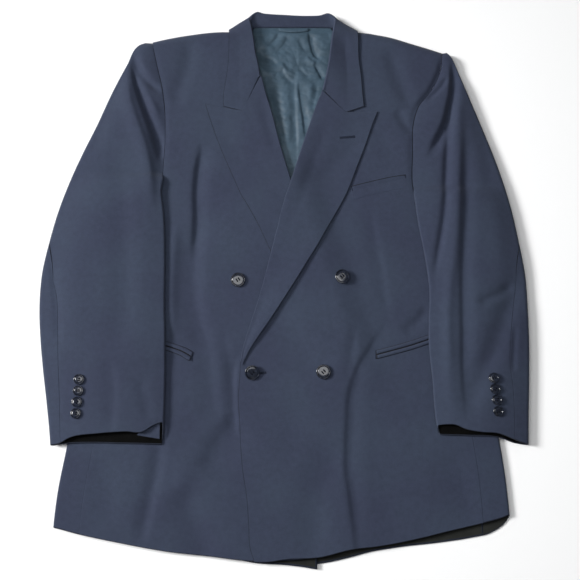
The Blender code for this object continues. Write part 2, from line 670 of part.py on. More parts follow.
def sleeve_stations(side, y, piece):
    """All places across one piece of the sleeve at height y: w, and 0 below to 1 above."""
    curve = CURVES[side]
    squeeze = squeeze_at(side, y)
    shrink = outer_radius(side, y) / SLEEVE_OUT_RADIUS
    seam = elbow_offset(side, y) * shrink
    if piece == "top":
        first = inner_stations(side, y)
        start = curve["armhole"](y)
        first = [(start + (w - start) * squeeze if squeeze < 1 else w, up) for w, up in first]
        last = [outer_station(side, y, seam + step * shrink) for step in (28, 22, 17, 12, 8, 4, 0)]
        middle = [(mix(first[-1][0], last[0][0], i / 5), 1.0) for i in range(1, 5)]
        return first + middle + last
    start = seam - SEAM - 5.0 * turning(y) * (1 - turning(y))
    finish = min(-outer_radius(side, y) * math.pi / 2 - 3 * shrink, start - 6 * shrink)
    arc_end = outer_station(side, y, finish)
    first = [outer_station(side, y, mix(start, finish, i / 8)) for i in range(8)]
    side_w = curve["side"](y)
    armhole = curve["back_armhole"](y) + 1.0
    end = mix(inner_fold_at(side, y) + SLEEVE_IN_RADIUS + 3, armhole + 3, openness(y))
    begin = arc_end[0]
    ramp_out = min(begin - 3, side_w + 26)
    ramp_in = min(ramp_out - 3, side_w - 5)
    bottom = [begin, ramp_out, mix(ramp_out, ramp_in, 0.5), ramp_in]
    bottom += [mix(ramp_in, end, i / 3) for i in (1, 2, 3)]
    narrow = ease((190 - y) / 60)
    bottom = [mix(mix(begin, end, i / 6), w, narrow) for i, w in enumerate(bottom)]
    last = []
    for i, share in enumerate((-1.0, -IN_SEAM - 0.24)):
        w, up = inner_place(side, y, IN_ARC * share)
        last.append((mix(w, armhole + 1.5 - 1.5 * i, openness(y)), mix(up, 0.0, openness(y))))
    return first + [(w, 0.0) for w in bottom] + last


def sleeve_levels(side, armhole_levels):
    """The sleeve's rows: those of the front's armhole, then evenly down to the cuff."""
    cap = [y for y in armhole_levels if y > 100]
    count = 12
    return cap + [mix(cap[-1], -212.0, i / count) for i in range(1, count + 1)]


def sleeve_piece(side, piece, levels, material):
    curve, sign = CURVES[side], SIDES[side]["sign"]
    columns = len(sleeve_stations(side, 0.0, piece)) - 1

    def place(column, row):
        level = levels[row]
        w, up = sleeve_stations(side, level, piece)[column]
        end = mix(curve["cuff_lower"](w), curve["cuff_upper"](w), up)
        y = level + (end + 212.0) * ease((90 - level) / 290)
        w, up = sleeve_stations(side, y, piece)[column]
        outer_w = curve["outer_fold"](y) - outer_radius(side, y)
        over = min(w, outer_w)
        if 0 < up < 1:
            inner_w = inner_fold_at(side, y) + SLEEVE_IN_RADIUS
            over = max(over, min(inner_w, outer_w))
        low = sleeve_bottom(side, over if up > 0 else w, y)
        high = sleeve_top(side, over, y)
        return sign * w, y, mix(low, high, up)
    name = "topsleeve" if piece == "top" else "undersleeve"
    return sheet(f"{name}_{side}", columns, len(levels) - 1, place, material, flip=sign > 0)


# ---------------------------------------------------------------- trim

def strip(name, opening, drop, width, height, material):
    """A strip of cloth along a pocket opening, from drop below it to drop + width."""
    rows_at = along(opening)
    first, last = opening[0][0], opening[-1][0]
    columns, rows = 9, 1

    def place(column, row):
        x = mix(first, last, column / columns)
        slope = (rows_at(x + 2) - rows_at(x - 2)) / 4
        fall = drop + width * row / rows
        place_x, place_y = x + slope * fall, rows_at(x) - fall
        return place_x, place_y, height(place_x, place_y) + SEAM + 0.1 + THIN
    return sheet(name, columns, rows, place, material, wall=THIN, flip=first < last)


def lining(height, material):
    """The back lining in the neck, lying on the back in a few long folds."""
    columns, rows = 8, 10
    folds = [(-22, 2.0, 9), (10, 2.6, 6), (38, 1.6, 10)]

    def place(column, row):
        u, v = column / columns, row / rows
        y = mix(403.4, 118.0, v)
        half = mix(54, 62, ease(v * 4))
        x = mix(4 - half, 4 + half, u)
        z = height(x, y) + 0.6 + THIN
        for at, rise, width in folds:
            z += rise * math.exp(-((x - at - 8 * v) / width) ** 2) * ease(v * 6)
        return x, y, z
    return sheet("lining_back", columns, rows, place, material, wall=THIN, flip=True)


def hanger_loop(height, material):
    """A folded strip whose ends lie on the neck seam and whose middle stands a little off it."""
    columns, rows = 6, 1

    def place(column, row):
        u = column / columns
        x = mix(-12, 26, u)
        y = mix(402.2, 396.8, row / rows) - 2.5 * math.sin(math.pi * u)
        return x, y, height(x, y) + SEAM + 0.9 + 0.9 * math.sin(math.pi * u)
    return sheet("hanger_loop", columns, rows, place, material, wall=0.9, flip=True)


def button(name, x, y, size, height, material):
    """A four-hole button on the cloth at (x, y), tilted with it."""
    radius, tall, rim, dish = size["radius"], size["height"], size["rim"], size["dish"]
    profile = [(0.0, tall - dish), (radius - rim - 1.0, tall - dish), (radius - rim, tall),
               (radius, tall - 0.6), (radius - 1.6, 0.0), (0.0, 0.0)]
    form = bmesh.new()
    corners = [form.verts.new((r * MM, 0, z * MM)) for r, z in profile]
    for a, b in zip(corners, corners[1:]):
        form.edges.new((a, b))
    mesh = bpy.data.meshes.new(name)
    form.to_mesh(mesh)
    form.free()
    thing = new_object(name, mesh, material)
    screw = thing.modifiers.new("turn", "SCREW")
    screw.steps = screw.render_steps = size["steps"]
    screw.use_merge_vertices = True
    screw.merge_threshold = 0.00001
    holes = four_holes(name, size) if size["hole"] else None
    if holes:
        cut = thing.modifiers.new("holes", "BOOLEAN")
        cut.operation = "DIFFERENCE"
        cut.solver = "EXACT"
        cut.object = holes

    reach = radius
    rise_x = (height(x + reach, y) - height(x - reach, y)) / (2 * reach)
    rise_y = (height(x, y + reach) - height(x, y - reach)) / (2 * reach)
    normal = Vector((-rise_x, -rise_y, 1)).normalized()
    middle = height(x, y)
    bumps = [0.0]
    for spread in (0.5, 0.9):
        for angle in np.linspace(0, 2 * math.pi, 12, endpoint=False):
            dx, dy = spread * reach * math.cos(angle), spread * reach * math.sin(angle)
            bumps.append(height(x + dx, y + dy) - (middle + rise_x * dx + rise_y * dy))
    level = middle + max(bumps) + SEAM + 0.1
    turn = Vector((0, 0, 1)).rotation_difference(normal).to_matrix().to_4x4()
    where = Matrix.Translation(((x + ORIGIN[0]) * MM, (y + ORIGIN[1]) * MM, level * MM)) @ turn
    for turned in filter(None, (thing, holes)):
        turned.matrix_world = where
    return thing


def four_holes(name, size):
    """The cutter of a button's four holes."""
    form = bmesh.new()
    half = size["pitch"] / 2 + size["hole"] / 2
    for across, along_hole in ((-1, -1), (-1, 1), (1, -1), (1, 1)):
        where = Matrix.Translation((across * half * MM, along_hole * half * MM, size["height"] / 2 * MM))
        bmesh.ops.create_cone(form, cap_ends=True, segments=5, radius1=size["hole"] * MM,
                              radius2=size["hole"] * MM, depth=size["height"] * 3 * MM, matrix=where)
    mesh = bpy.data.meshes.new(name + "_holes")
    form.to_mesh(mesh)
    form.free()
    cutter = bpy.data.objects.new(name + "_holes", mesh)
    cutters.objects.link(cutter)
    cutter.hide_render = True
    cutter.display_type = "WIRE"
    return cutter


# ---------------------------------------------------------------- the blazer

def cloth(name, colour, roughness):
    material = bpy.data.materials.new(name)
    material.use_nodes = True
    shader = material.node_tree.nodes["Principled BSDF"]
    shader.inputs["Base Color"].default_value = (*colour, 1)
    shader.inputs["Roughness"].default_value = roughness
    shader.inputs["Metallic"].default_value = 0.0
    return material


def build():
    wool = cloth("wool", WOOL, 0.85)
    satin = cloth("satin", SATIN, 0.4)
    horn = cloth("horn", HORN, 0.25)
    on_front, on_back = {}, {}
    for side in SIDES:
        sign = SIDES[side]["sign"]
        on_back[side] = lie_on(back_panel(side, wool), back_top)
        side_panel(side, wool)
        front, armhole_levels = front_panel(side, wool)
        levels = sleeve_levels(side, armhole_levels)
        on_front[side] = lie_on(front, outer_front if side == "left" else inner_front)
        lapel(side, on_front[side], wool)
        sleeve = sleeve_piece(side, "top", levels, wool)
        sleeve_piece(side, "under", levels[UNDER_SKIP:], wool)
        for which, drop in (("upper", -JET_WIDTH), ("lower", SEAM / 2)):
            name, width = f"hip_jet_{which}_{side}", JET_WIDTH - SEAM / 2
            strip(name, HIP_POCKET[side], drop, width, on_front[side], wool)
        on_sleeve = lie_on(sleeve, lambda x, y: sleeve_top(side, sign * x, y))
        for number, (w, y) in enumerate(CUFF_BUTTONS[side], 1):
            button(f"cuff_button_{side}_{number}", sign * w, y, CUFF_BUTTON, on_sleeve, horn)
    collar_piece(wool)
    strip("chest_welt", CHEST_WELT, 0.0, CHEST_WELT_HEIGHT, on_front["left"], wool)
    lining_piece = lining(lambda x, y: on_back["right" if x < 4 else "left"](x, y), satin)
    hanger_loop(lie_on(lining_piece, back_top), satin)
    for name, x, y in FRONT_BUTTONS:
        button(name, x, y, BUTTON, on_front["right" if name == "button_1" else "left"], horn)


for old in list(bpy.data.objects):
    bpy.data.objects.remove(old, do_unlink=True)
collection = bpy.data.collections.new("double_breasted_blazer")
cutters = bpy.data.collections.new("cutters")
bpy.context.scene.collection.children.link(collection)
bpy.context.scene.collection.children.link(cutters)
build()
bpy.context.view_layer.update()
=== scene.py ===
"""Double breasted blazer, buttoned and laid flat on its back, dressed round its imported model.

The garment's tables are in millimetres in its own frame: x runs toward the wearer's left, y toward
the collar, and x = 0 is the line where the lapels cross. Tables for one side use w, the distance
outward from that line.
"""
import math

import bmesh
import bpy
import numpy as np
from mathutils import Matrix, Vector


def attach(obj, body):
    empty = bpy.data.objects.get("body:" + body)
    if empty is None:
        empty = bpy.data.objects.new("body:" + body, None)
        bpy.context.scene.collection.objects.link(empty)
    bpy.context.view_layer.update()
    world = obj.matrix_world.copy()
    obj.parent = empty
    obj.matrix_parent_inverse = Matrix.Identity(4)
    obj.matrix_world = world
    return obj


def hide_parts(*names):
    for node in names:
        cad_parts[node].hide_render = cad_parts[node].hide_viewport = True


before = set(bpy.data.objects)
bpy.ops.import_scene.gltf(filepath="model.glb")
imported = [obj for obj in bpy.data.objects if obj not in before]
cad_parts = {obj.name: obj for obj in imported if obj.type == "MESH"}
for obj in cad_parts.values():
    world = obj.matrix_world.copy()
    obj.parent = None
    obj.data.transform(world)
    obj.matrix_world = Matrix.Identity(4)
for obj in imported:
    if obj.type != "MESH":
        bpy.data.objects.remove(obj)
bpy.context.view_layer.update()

# ---------------------------------------------------------------- Camera, lights and table
# The blazer lies on a plain pale table and is seen from nearly straight above, from the hem's side.
# A window on the wearer's right lights it, and two lamps soften the shadows.

MIDDLE = Vector((0.0075, -0.017, 0.015))
CAMERA_AWAY = 1.45
CAMERA_TILT = math.radians(10)
LENS = 62.07
# name, place, what it points at, width, height, power in watts
LAMPS = [
    ("window", (-6.6, 1.2, 3.9), (0.0, 0.0, 0.0), 2.0, 2.0, 800),
    ("overhead", (-0.22, 0.04, 1.05), (-0.22, 0.04, 0.0), 0.9, 0.5, 5.2),
    ("front", (0.6, -3.2, 3.4), (0.0, 0.0, 0.0), 1.6, 1.6, 10),
]
SKY = {"Color": (0.96, 0.98, 1.0, 1), "Strength": 0.19}
TABLE_SIZE = 6.0
TABLE_DROP = 0.0004
TABLE_PAINT = {"Base Color": (0.93, 0.93, 0.93, 1), "Roughness": 0.9}


def put_in_scene(name, data):
    """An object of this mesh, curve, lamp or camera, in the scene."""
    thing = bpy.data.objects.new(name, data)
    bpy.context.scene.collection.objects.link(thing)
    return thing


def with_settings(node, settings):
    """The node, with its inputs set to these values."""
    for name, value in settings.items():
        node.inputs[name].default_value = value
    return node


def new_material(name, settings):
    """A material whose shader has these settings, with its node tree and that shader."""
    material = bpy.data.materials.new(name)
    material.use_nodes = True
    tree = material.node_tree
    return material, tree, with_settings(tree.nodes["Principled BSDF"], settings)


camera = put_in_scene("camera", bpy.data.cameras.new("camera"))
camera.data.lens = LENS
camera.rotation_euler = (CAMERA_TILT, 0, 0)
camera.location = MIDDLE + CAMERA_AWAY * Vector((0, -math.sin(CAMERA_TILT), math.cos(CAMERA_TILT)))
bpy.context.scene.camera = camera

for lamp_name, place, target, width, height, power in LAMPS:
    lamp = put_in_scene(lamp_name, bpy.data.lights.new(lamp_name, "AREA"))
    lamp.data.shape = "RECTANGLE"
    lamp.data.size, lamp.data.size_y, lamp.data.energy = width, height, power
    lamp.location = place
    lamp.rotation_euler = (Vector(target) - Vector(place)).to_track_quat("-Z", "Y").to_euler()

world = bpy.data.worlds.new("studio")
world.use_nodes = True
with_settings(world.node_tree.nodes["Background"], SKY)
bpy.context.scene.world = world
bpy.context.scene.view_settings.view_transform = "Standard"

table_form = bmesh.new()
bmesh.ops.create_grid(table_form, x_segments=1, y_segments=1, size=TABLE_SIZE / 2)
table_mesh = bpy.data.meshes.new("table")
table_form.to_mesh(table_mesh)
table_form.free()
table_mesh.transform(Matrix.Translation((0, 0, -TABLE_DROP)))
table_mesh.materials.append(new_material("white_table", TABLE_PAINT)[0])
put_in_scene("table", table_mesh)

# ---------------------------------------------------------------- Back
# Two wool panels joined down the centre back, flat on the table, with a vent below the waist. They
# are cut from a fine twill, and rise a little over the collar's hidden leaf.

MM = 0.001
# where the garment's own zero lies in the model
SHIFT = (7.5, -17.0)
WALL = 1.6
SEAM = 0.3
EDGE_SHARE = 0.3
# how fast the shape of a panel's ends dies away, and the rounds in which its points settle
END_FADE = 4
ROUNDS = 3
EVERY = slice(None)
ALL_EDGES = [(EVERY, 0), (EVERY, -1), (0, EVERY), (-1, EVERY)]
# places of a piece's second material, and of its third: the painted edge shade on twill
INSIDE = 1
EDGE_SHADE = 2
# the least width that a strip's cut size is taken as, in metres
NARROWEST_CUT = 0.0101
# width, length and area that each piece was cut to
cut_sizes = {}


def curve(rows, straight=False):
    """Read (at, value) rows as a smooth curve, level past its ends."""
    at, value = (np.array(column, float) for column in zip(*sorted(rows)))
    slope = np.gradient(value, at)

    def read(t):
        t = np.clip(t, at[0], at[-1])
        if straight:
            return np.interp(t, at, value)
        i = np.clip(np.searchsorted(at, t) - 1, 0, len(at) - 2)
        span = at[i + 1] - at[i]
        s = (t - at[i]) / span
        rise = value[i + 1] - value[i]
        start, end = slope[i] * span, slope[i + 1] * span
        return value[i] + s * (start + s * (3 * rise - 2 * start - end + s * (start + end - 2 * rise)))
    return read


def mix(a, b, t):
    return a + (b - a) * t


def ease(t):
    t = np.clip(t, 0.0, 1.0)
    return t * t * (3 - 2 * t)


def fade(value, zero, one):
    """0 where the value is at zero or before it, 1 at one or past it, and smooth between."""
    return ease((value - zero) / (one - zero))


def even(count):
    """This many even fractions from 0 to 1."""
    return np.linspace(0, 1, count)


def edged(values):
    """The same steps with a short one added at each end, to keep the turn at the edge small."""
    near = mix(values[0], values[1], EDGE_SHARE), mix(values[-1], values[-2], EDGE_SHARE)
    return np.concatenate([values[:1], near[:1], values[1:-1], near[1:], values[-1:]])


def panel_point(u, v, inner, outer, top, hem, ends):
    """Points of a panel between two sides w(y) and two ends y(w), from 0 to 1 across and down.

    ends has y at the inner and outer corner of the top, then of the hem.
    """
    line = mix(mix(ends[0], ends[2], v), mix(ends[1], ends[3], v), u)
    line_top, line_hem = mix(ends[0], ends[1], u), mix(ends[2], ends[3], u)
    w = mix(inner(line), outer(line), u)
    for _ in range(ROUNDS):
        y = line + (1 - v) ** END_FADE * (top(w) - line_top) + v ** END_FADE * (hem(w) - line_hem)
        w = mix(inner(y), outer(y), u)
    return w, y


def cloth_piece(name, across, down, place, material, wall=WALL, turned=False, inside=None,
                shaded_edges=ALL_EDGES):
    """A grid of cloth placed in mm, with a wall away from its seen side and a UV in real metres.

    The parts of its edges in shaded_edges, as rows and columns of the grid, and its walls get a painted
    shade line.
    """
    u, v = np.meshgrid(np.asarray(across, float), np.asarray(down, float))
    x, y, z = (np.broadcast_to(part, u.shape) for part in place(u, v))
    points = np.stack([x + SHIFT[0], y + SHIFT[1], z], -1) * MM
    rows, columns = u.shape
    number = np.arange(rows * columns).reshape(rows, columns)
    corners = [number[:-1, :-1], number[1:, :-1], number[1:, 1:], number[:-1, 1:]]
    faces = np.stack(corners if turned else corners[::-1], -1).reshape(-1, 4)
    mesh = bpy.data.meshes.new(name)
    mesh.from_pydata(points.reshape(-1, 3).tolist(), [], faces.tolist())
    run = np.linalg.norm(np.diff(points, axis=1), axis=2).cumsum(1)
    fall = np.linalg.norm(np.diff(points, axis=0), axis=2).cumsum(0)
    across_cloth = np.pad(run, ((0, 0), (1, 0))) - run[:, -1:] / 2
    down_cloth = np.pad(fall, ((1, 0), (0, 0)))
    flat = np.stack([across_cloth, -down_cloth], -1).reshape(-1, 2)
    mesh.uv_layers.new(name="cloth").data.foreach_set("uv", flat[faces.ravel()].ravel().astype(np.float32))
    mesh.shade_smooth()
    cloth_of = np.zeros((rows - 1, columns - 1), np.int32)
    for part in shaded_edges:
        cloth_of[part] = EDGE_SHADE
    mesh.polygons.foreach_set("material_index", cloth_of.ravel())
    # on twill the third material is a darker twill, painted shade along the edges and walls
    for cloth in (material, inside or material, edge_shade_twill if material == twill else material):
        mesh.materials.append(cloth)
    piece = put_in_scene(name, mesh)
    solidify = piece.modifiers.new("wall", "SOLIDIFY")
    solidify.thickness, solidify.offset = wall * MM, -1.0
    solidify.material_offset, solidify.material_offset_rim = INSIDE, EDGE_SHADE
    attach(piece, "root")
    rightward, downward = points[:-1, 1:] - points[:-1, :-1], points[1:, :-1] - points[:-1, :-1]
    area = np.linalg.norm(np.cross(downward, rightward), axis=2).sum()
    cut_sizes[name] = float(run[:, -1].max()), float(fall[-1].max()), float(area)
    return piece


def laid(piece, nodes):
    """The piece stands for its nodes, which are hidden; its cut width and length are read but not used."""
    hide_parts(*nodes)
    width, length, area = cut_sizes[piece.name]
    width, length = max(width, NARROWEST_CUT), max(length, NARROWEST_CUT)


WOOL = {"Roughness": 0.85, "Specular IOR Level": 0.18, "Sheen Weight": 0.06, "Sheen Roughness": 0.5}
TWILL_SLANT = {"Rotation": (0, 0, math.radians(27))}
RIBS = {"Scale": 330.0, "Distortion": 1.4, "Detail": 2.0, "Detail Scale": 2.0}
NAP = {"Scale": 900.0, "Detail": 4.0}
DYE = {"Scale": 140.0, "Detail": 5.0}
FADING = {"Scale": 11.0, "Detail": 2.5}
# where in its pattern a tone starts and ends, and for some its dark and light
DYE_TONE = (0.3, 0.7)
NAP_TONE = (0.35, 0.65, (0.6, 0.6, 0.62), (1, 1, 1))
FADING_TONE = (0.36, 0.64, (0.93, 0.90, 0.95), (1.04, 1.07, 1.05))
NAP_SHARE = 0.3
# height in metres, and strength
RIB_BUMP = (0.00012, 0.35)
NAP_BUMP = (0.0002, 0.45)
SLUB = {"Scale": 160.0, "Detail": 3.0}
SLUB_STRETCH = {"Scale": (0.12, 2.4, 1.0)}
SLUB_SHARE = 0.2
SLUB_BUMP = (0.00006, 0.12)
SATIN_DYE = {"Scale": 60.0}
SATIN_TONE = (0.35, 0.65)


def mapped(tree, place, settings):
    """A place turned or stretched."""
    mapping = with_settings(tree.nodes.new("ShaderNodeMapping"), settings)
    tree.links.new(place, mapping.inputs["Vector"])
    return mapping.outputs["Vector"]


def pattern(tree, kind, place, settings):
    """A noise or wave of these settings, read at a place."""
    texture = with_settings(tree.nodes.new(f"ShaderNodeTex{kind}"), settings)
    tree.links.new(place, texture.inputs["Vector"])
    return texture.outputs["Fac"]


def tone(tree, source, low, high, dark, light):
    """A colour that runs from dark to light as the source goes from low to high."""
    ramp = tree.nodes.new("ShaderNodeValToRGB")
    for stop, position, colour in zip(ramp.color_ramp.elements, (low, high), (dark, light)):
        stop.position = position
        stop.color = (*colour, 1)
    tree.links.new(source, ramp.inputs["Fac"])
    return ramp.outputs["Color"]


def blended(tree, first, second, share, as_colours=False):
    """Two values mixed by a share, or two colours multiplied by it."""
    blend = tree.nodes.new("ShaderNodeMix")
    if as_colours:
        blend.data_type, blend.blend_type = "RGBA", "MULTIPLY"
    blend.inputs["Factor"].default_value = share
    tree.links.new(first, blend.inputs["A"])
    tree.links.new(second, blend.inputs["B"])
    return blend.outputs["Result"]


def raised(tree, source, distance, strength, under=None):
    """A bump that the source's height makes, over the one under it."""
    bump = with_settings(tree.nodes.new("ShaderNodeBump"), {"Strength": strength, "Distance": distance})
    tree.links.new(source, bump.inputs["Height"])
    if under is not None:
        tree.links.new(under, bump.inputs["Normal"])
    return bump.outputs["Normal"]


def wool(name, dark, light):
    """Fine twill: close diagonal ribs, a soft nap, an uneven dye and broad faded patches."""
    material, tree, shader = new_material(name, WOOL)
    place = tree.nodes.new("ShaderNodeTexCoord").outputs
    ribs = pattern(tree, "Wave", mapped(tree, place["UV"], TWILL_SLANT), RIBS)
    nap, dye, fading = (pattern(tree, "Noise", place["Object"], size) for size in (NAP, DYE, FADING))
    cloth = tone(tree, dye, *DYE_TONE, dark, light)
    cloth = blended(tree, cloth, tone(tree, nap, *NAP_TONE), NAP_SHARE, as_colours=True)
    cloth = blended(tree, cloth, tone(tree, fading, *FADING_TONE), 1.0, as_colours=True)
    tree.links.new(cloth, shader.inputs["Base Color"])
    ribbed = raised(tree, ribs, *RIB_BUMP)
    tree.links.new(raised(tree, nap, *NAP_BUMP, under=ribbed), shader.inputs["Normal"])
    return material


def satin(name, dark, light, roughness, shine):
    """Thin lining satin: a smooth sheen, a faint crosswise slub, and a slightly uneven dye."""
    material, tree, shader = new_material(name, {"Roughness": roughness, "Specular IOR Level": shine})
    place = tree.nodes.new("ShaderNodeTexCoord").outputs
    slub = pattern(tree, "Noise", mapped(tree, place["UV"], SLUB_STRETCH), SLUB)
    dye = pattern(tree, "Noise", place["Object"], SATIN_DYE)
    cloth = tone(tree, blended(tree, dye, slub, SLUB_SHARE), *SATIN_TONE, dark, light)
    tree.links.new(cloth, shader.inputs["Base Color"])
    tree.links.new(raised(tree, slub, *SLUB_BUMP), shader.inputs["Normal"])
    return material


twill = wool("navy_twill", (0.031, 0.040, 0.067), (0.036, 0.046, 0.077))
# painted edge shade: a darker twill on the pieces' marked edges and walls and in the buttonhole slits,
# standing for the shade there
edge_shade_twill = wool("painted_edge_shade_twill", (0.012, 0.016, 0.028), (0.017, 0.022, 0.037))
# inside of the back and side panels: dark charcoal cloth, painted darker still as the shade on the strip
# below the hem
charcoal_and_shade = satin("charcoal_lining_and_painted_shade", (0.014, 0.015, 0.014), (0.020, 0.021, 0.019), 0.7, 0.1)
# inside of the sleeves: a dark lining, painted near-black as the shade inside the cuff openings
black_lining_and_shade = satin("sleeve_lining_and_painted_shade", (0.001, 0.001, 0.001), (0.003, 0.003, 0.003), 0.8, 0.05)

SIDE_PANEL = 38.0
SIGN = {"right": -1, "left": 1}
# w, y along the shoulder
SHOULDER = {
    "right": curve([(62, 399), (75, 400), (95, 401.5), (117, 401), (148, 397.6), (178, 392.6), (205, 386.5),
                    (228, 380)]),
    "left": curve([(62, 399), (75, 400), (95, 401), (117, 399.5), (129, 397.5), (155, 392.5), (185, 383),
                   (212, 374.5), (243, 364)]),
}
# y, w
BACK_ARMHOLE = {
    "right": curve([(383, 213), (330, 204), (250, 202), (180, 206), (125, 218), (88, 240)]),
    "left": curve([(367, 231), (320, 218), (250, 206), (180, 201), (125, 206), (88, 226)]),
}
SIDE_FOLD = {
    "right": curve([(430, 248), (81, 278), (-58, 290), (-147, 304), (-228, 318), (-288, 328), (-333, 332),
                    (-360, 333)]),
    "left": curve([(430, 236), (81, 264), (-58, 275), (-147, 288), (-221, 299), (-264, 304.5), (-325, 309),
                   (-360, 310)]),
}
# w, y
BACK_HEM = {
    "right": curve([(-40, -393), (-38, -393), (-18, -390), (9, -387), (48, -385), (110, -371), (174, -364),
                    (244, -351), (298, -341), (330, -335), (336, -334)]),
    "left": curve([(-6, -387), (46, -385), (84, -377), (111, -370), (147, -364), (216, -356),
                   (255, -350), (282, -343.5), (301, -331), (312, -318.5)]),
}
SLEEVE_TOP = {"right": 384.0, "left": 368.0}
ARMPIT = 88
NECK_SEAM = 406.5
NECK_CORNER = (66, 82)
SHOULDER_GAP = 0.4
BACK_GAP = 1.0
BACK_LOW = (-386.0, -334.0)
BACK_SEAM = 4.0
BACK_COLUMNS, BACK_ROWS = 41, 101
VENT = 34
VENT_OPENS = (-150, -176)
# the right back over the left one at the vent: how much, and where it starts in x and y
VENT_STEP = 2.5
VENT_STEP_X = (-60, -10)
VENT_STEP_Y = (-60, -115)
# the back over the collar's leaf: how much, where it starts in y, and out from its middle in x
COLLAR_LIFT = 2.2
COLLAR_LIFT_Y = (290, 365)
COLLAR_LIFT_REACH = (165, 105)
COLLAR_MIDDLE = 5
PATH_STEPS = 4
# a crease comes in over the first quarter of its path and goes over the last
CREASE_FADE = 4


def path_distance(x, y, points):
    """Signed distance from a path, positive on its left, and how far along it is, 0 to 1."""
    points = [np.array(point, float) for point in points]
    lengths = [np.linalg.norm(b - a) for a, b in zip(points, points[1:])]
    best = np.full(np.shape(x), 1e9)
    place, hand, travelled = np.zeros(np.shape(x)), np.ones(np.shape(x)), 0.0
    for a, b, length in zip(points, points[1:], lengths):
        ahead = (b - a) / length
        t = np.clip(((x - a[0]) * ahead[0] + (y - a[1]) * ahead[1]) / length, 0, 1)
        gap_x, gap_y = x - a[0] - t * length * ahead[0], y - a[1] - t * length * ahead[1]
        distance = np.hypot(gap_x, gap_y)
        nearer = distance < best
        best = np.where(nearer, distance, best)
        place = np.where(nearer, (travelled + t * length) / sum(lengths), place)
        hand = np.where(nearer, np.sign(ahead[0] * gap_y - ahead[1] * gap_x), hand)
        travelled += length
    return best * hand, place


def smooth_path(points):
    """More points on a curve through these."""
    at = np.arange(len(points))
    fine = np.linspace(0, at[-1], at[-1] * PATH_STEPS + 1)
    return list(zip(*(curve(list(zip(at, column)))(fine) for column in zip(*points))))


def creases(table):
    """Heights of soft troughs along paths.

    Each row has the crease's name, its path as x and y, its depth, and its width on the left and on
    the right as the path runs. A swell has a depth below 0.
    """
    ready = [(smooth_path(path), depth, left, right) for _, path, depth, left, right in table]

    def read(x, y):
        total = np.zeros(np.shape(x))
        for path, depth, left, right in ready:
            across, along_it = path_distance(x, y, path)
            width = np.where(across > 0, left, right)
            shown = ease(np.minimum(along_it, 1 - along_it) * CREASE_FADE)
            total -= depth * np.exp(-(across / width) ** 2) * shown
        return total
    return read


# low folds of the back where it lies on the table
BACK_CREASES = creases([
    ("drag from the right blade", [(-150, 262), (-112, 214), (-84, 150), (-70, 84)], -1.5, 12, 9),
    ("drag from the left blade", [(128, 240), (104, 176), (92, 118)], -1.2, 10, 13),
    ("across the waist", [(-176, 66), (-120, 44), (-66, 52)], -1.4, 7, 10),
    ("across the waist, left", [(58, 28), (118, 44), (186, 34)], -1.1, 8, 8),
    ("below the waist", [(-150, -34), (-96, -58), (-52, -52)], -0.9, 6, 9),
    ("seat", [(70, -96), (128, -160), (150, -240)], -1.3, 14, 10),
    ("seat, right", [(-92, -130), (-118, -206), (-110, -290)], -1.6, 10, 15),
    ("beside the vent", [(84, -228), (76, -292), (90, -342)], -0.8, 8, 7),
])


def back_raise(x, y):
    """How much the back lies off the table, at its folds and where the collar's leaf is under it."""
    over_leaf = fade(y, *COLLAR_LIFT_Y) * fade(abs(x - COLLAR_MIDDLE), *COLLAR_LIFT_REACH)
    return COLLAR_LIFT * over_leaf + BACK_CREASES(x, y)


def vent_step(x, y):
    """How much the right back rises over the left one at the vent."""
    return VENT_STEP * fade(x, *VENT_STEP_X) * fade(y, *VENT_STEP_Y)


def back_place(side):
    sign = SIGN[side]

    def inner(y):
        vent = VENT * fade(y, *VENT_OPENS) if side == "right" else 0.0
        return sign * (BACK_SEAM + sign * SEAM / 2 + vent)

    def outer(y):
        return np.where(y > ARMPIT, BACK_ARMHOLE[side](y), SIDE_FOLD[side](y) - SIDE_PANEL) - SEAM

    def top(w):
        return mix(NECK_SEAM - SEAM, SHOULDER[side](w) - SHOULDER_GAP, fade(w, *NECK_CORNER))

    def place(u, v):
        ends = (NECK_SEAM - SEAM, SLEEVE_TOP[side] - BACK_GAP, *BACK_LOW)
        w, y = panel_point(u, v, inner, outer, top, BACK_HEM[side], ends)
        x = sign * w
        return x, y, back_raise(x, y) + (vent_step(x, y) if side == "right" else 0.0)
    return place


for side in SIGN:
    back = cloth_piece(f"back_panel_{side}", edged(even(BACK_COLUMNS)), edged(even(BACK_ROWS)),
                       back_place(side), twill, turned=side == "right", inside=charcoal_and_shade)
    laid(back, [f"back_{side}"])

# ---------------------------------------------------------------- Heights of the front
# The fronts lie over the hollow of the body, highest along the middle and down to the side folds,
# with the long soft troughs of the darts and the shallow creases that wear leaves. The left front
# also rises over the right one's edge and lapel.

FOLD_TOP = 6.4
FOLD_REACH = 190.0
# above the armpit the front's height is taken as if the side fold lay this much further out
ARM_REACH = 80
ARM_REACH_Y = (75, 205)
CREASE_INSET = 60
SHOULDER_ROLL = 14.0
SHOULDER_EDGE = 1.0
LEAF = 2.1
LAY = 1.0
LAPPED_SPARE = 0.4
LAPEL_SPARE = 0.8
# past the right front's edge: its soft step, the sharper one mixed in below, and its lapel's rise
SOFT_STEP = (48, 4)
SHARP_STEP = (8, -4)
SHARP_SHARE = 0.5
SHARP_Y = (-60, -130)
UNDER_LAPEL = (60, 4)
UNDER_LAPEL_EDGE = (-58, -2)
UNDER_LAPEL_Y = (-165, -105)
# y over which the right front's free edge gives way to its roll, and the left front lies close
EDGE_TO_ROLL = (-115, -85)
LAPPED_Y = (230, 170)
CROWN = curve([(-390, 9.6), (-300, 10.3), (-200, 11.3), (-60, 13.2), (100, 15.3), (250, 16.5), (330, 16),
               (410, 15)])
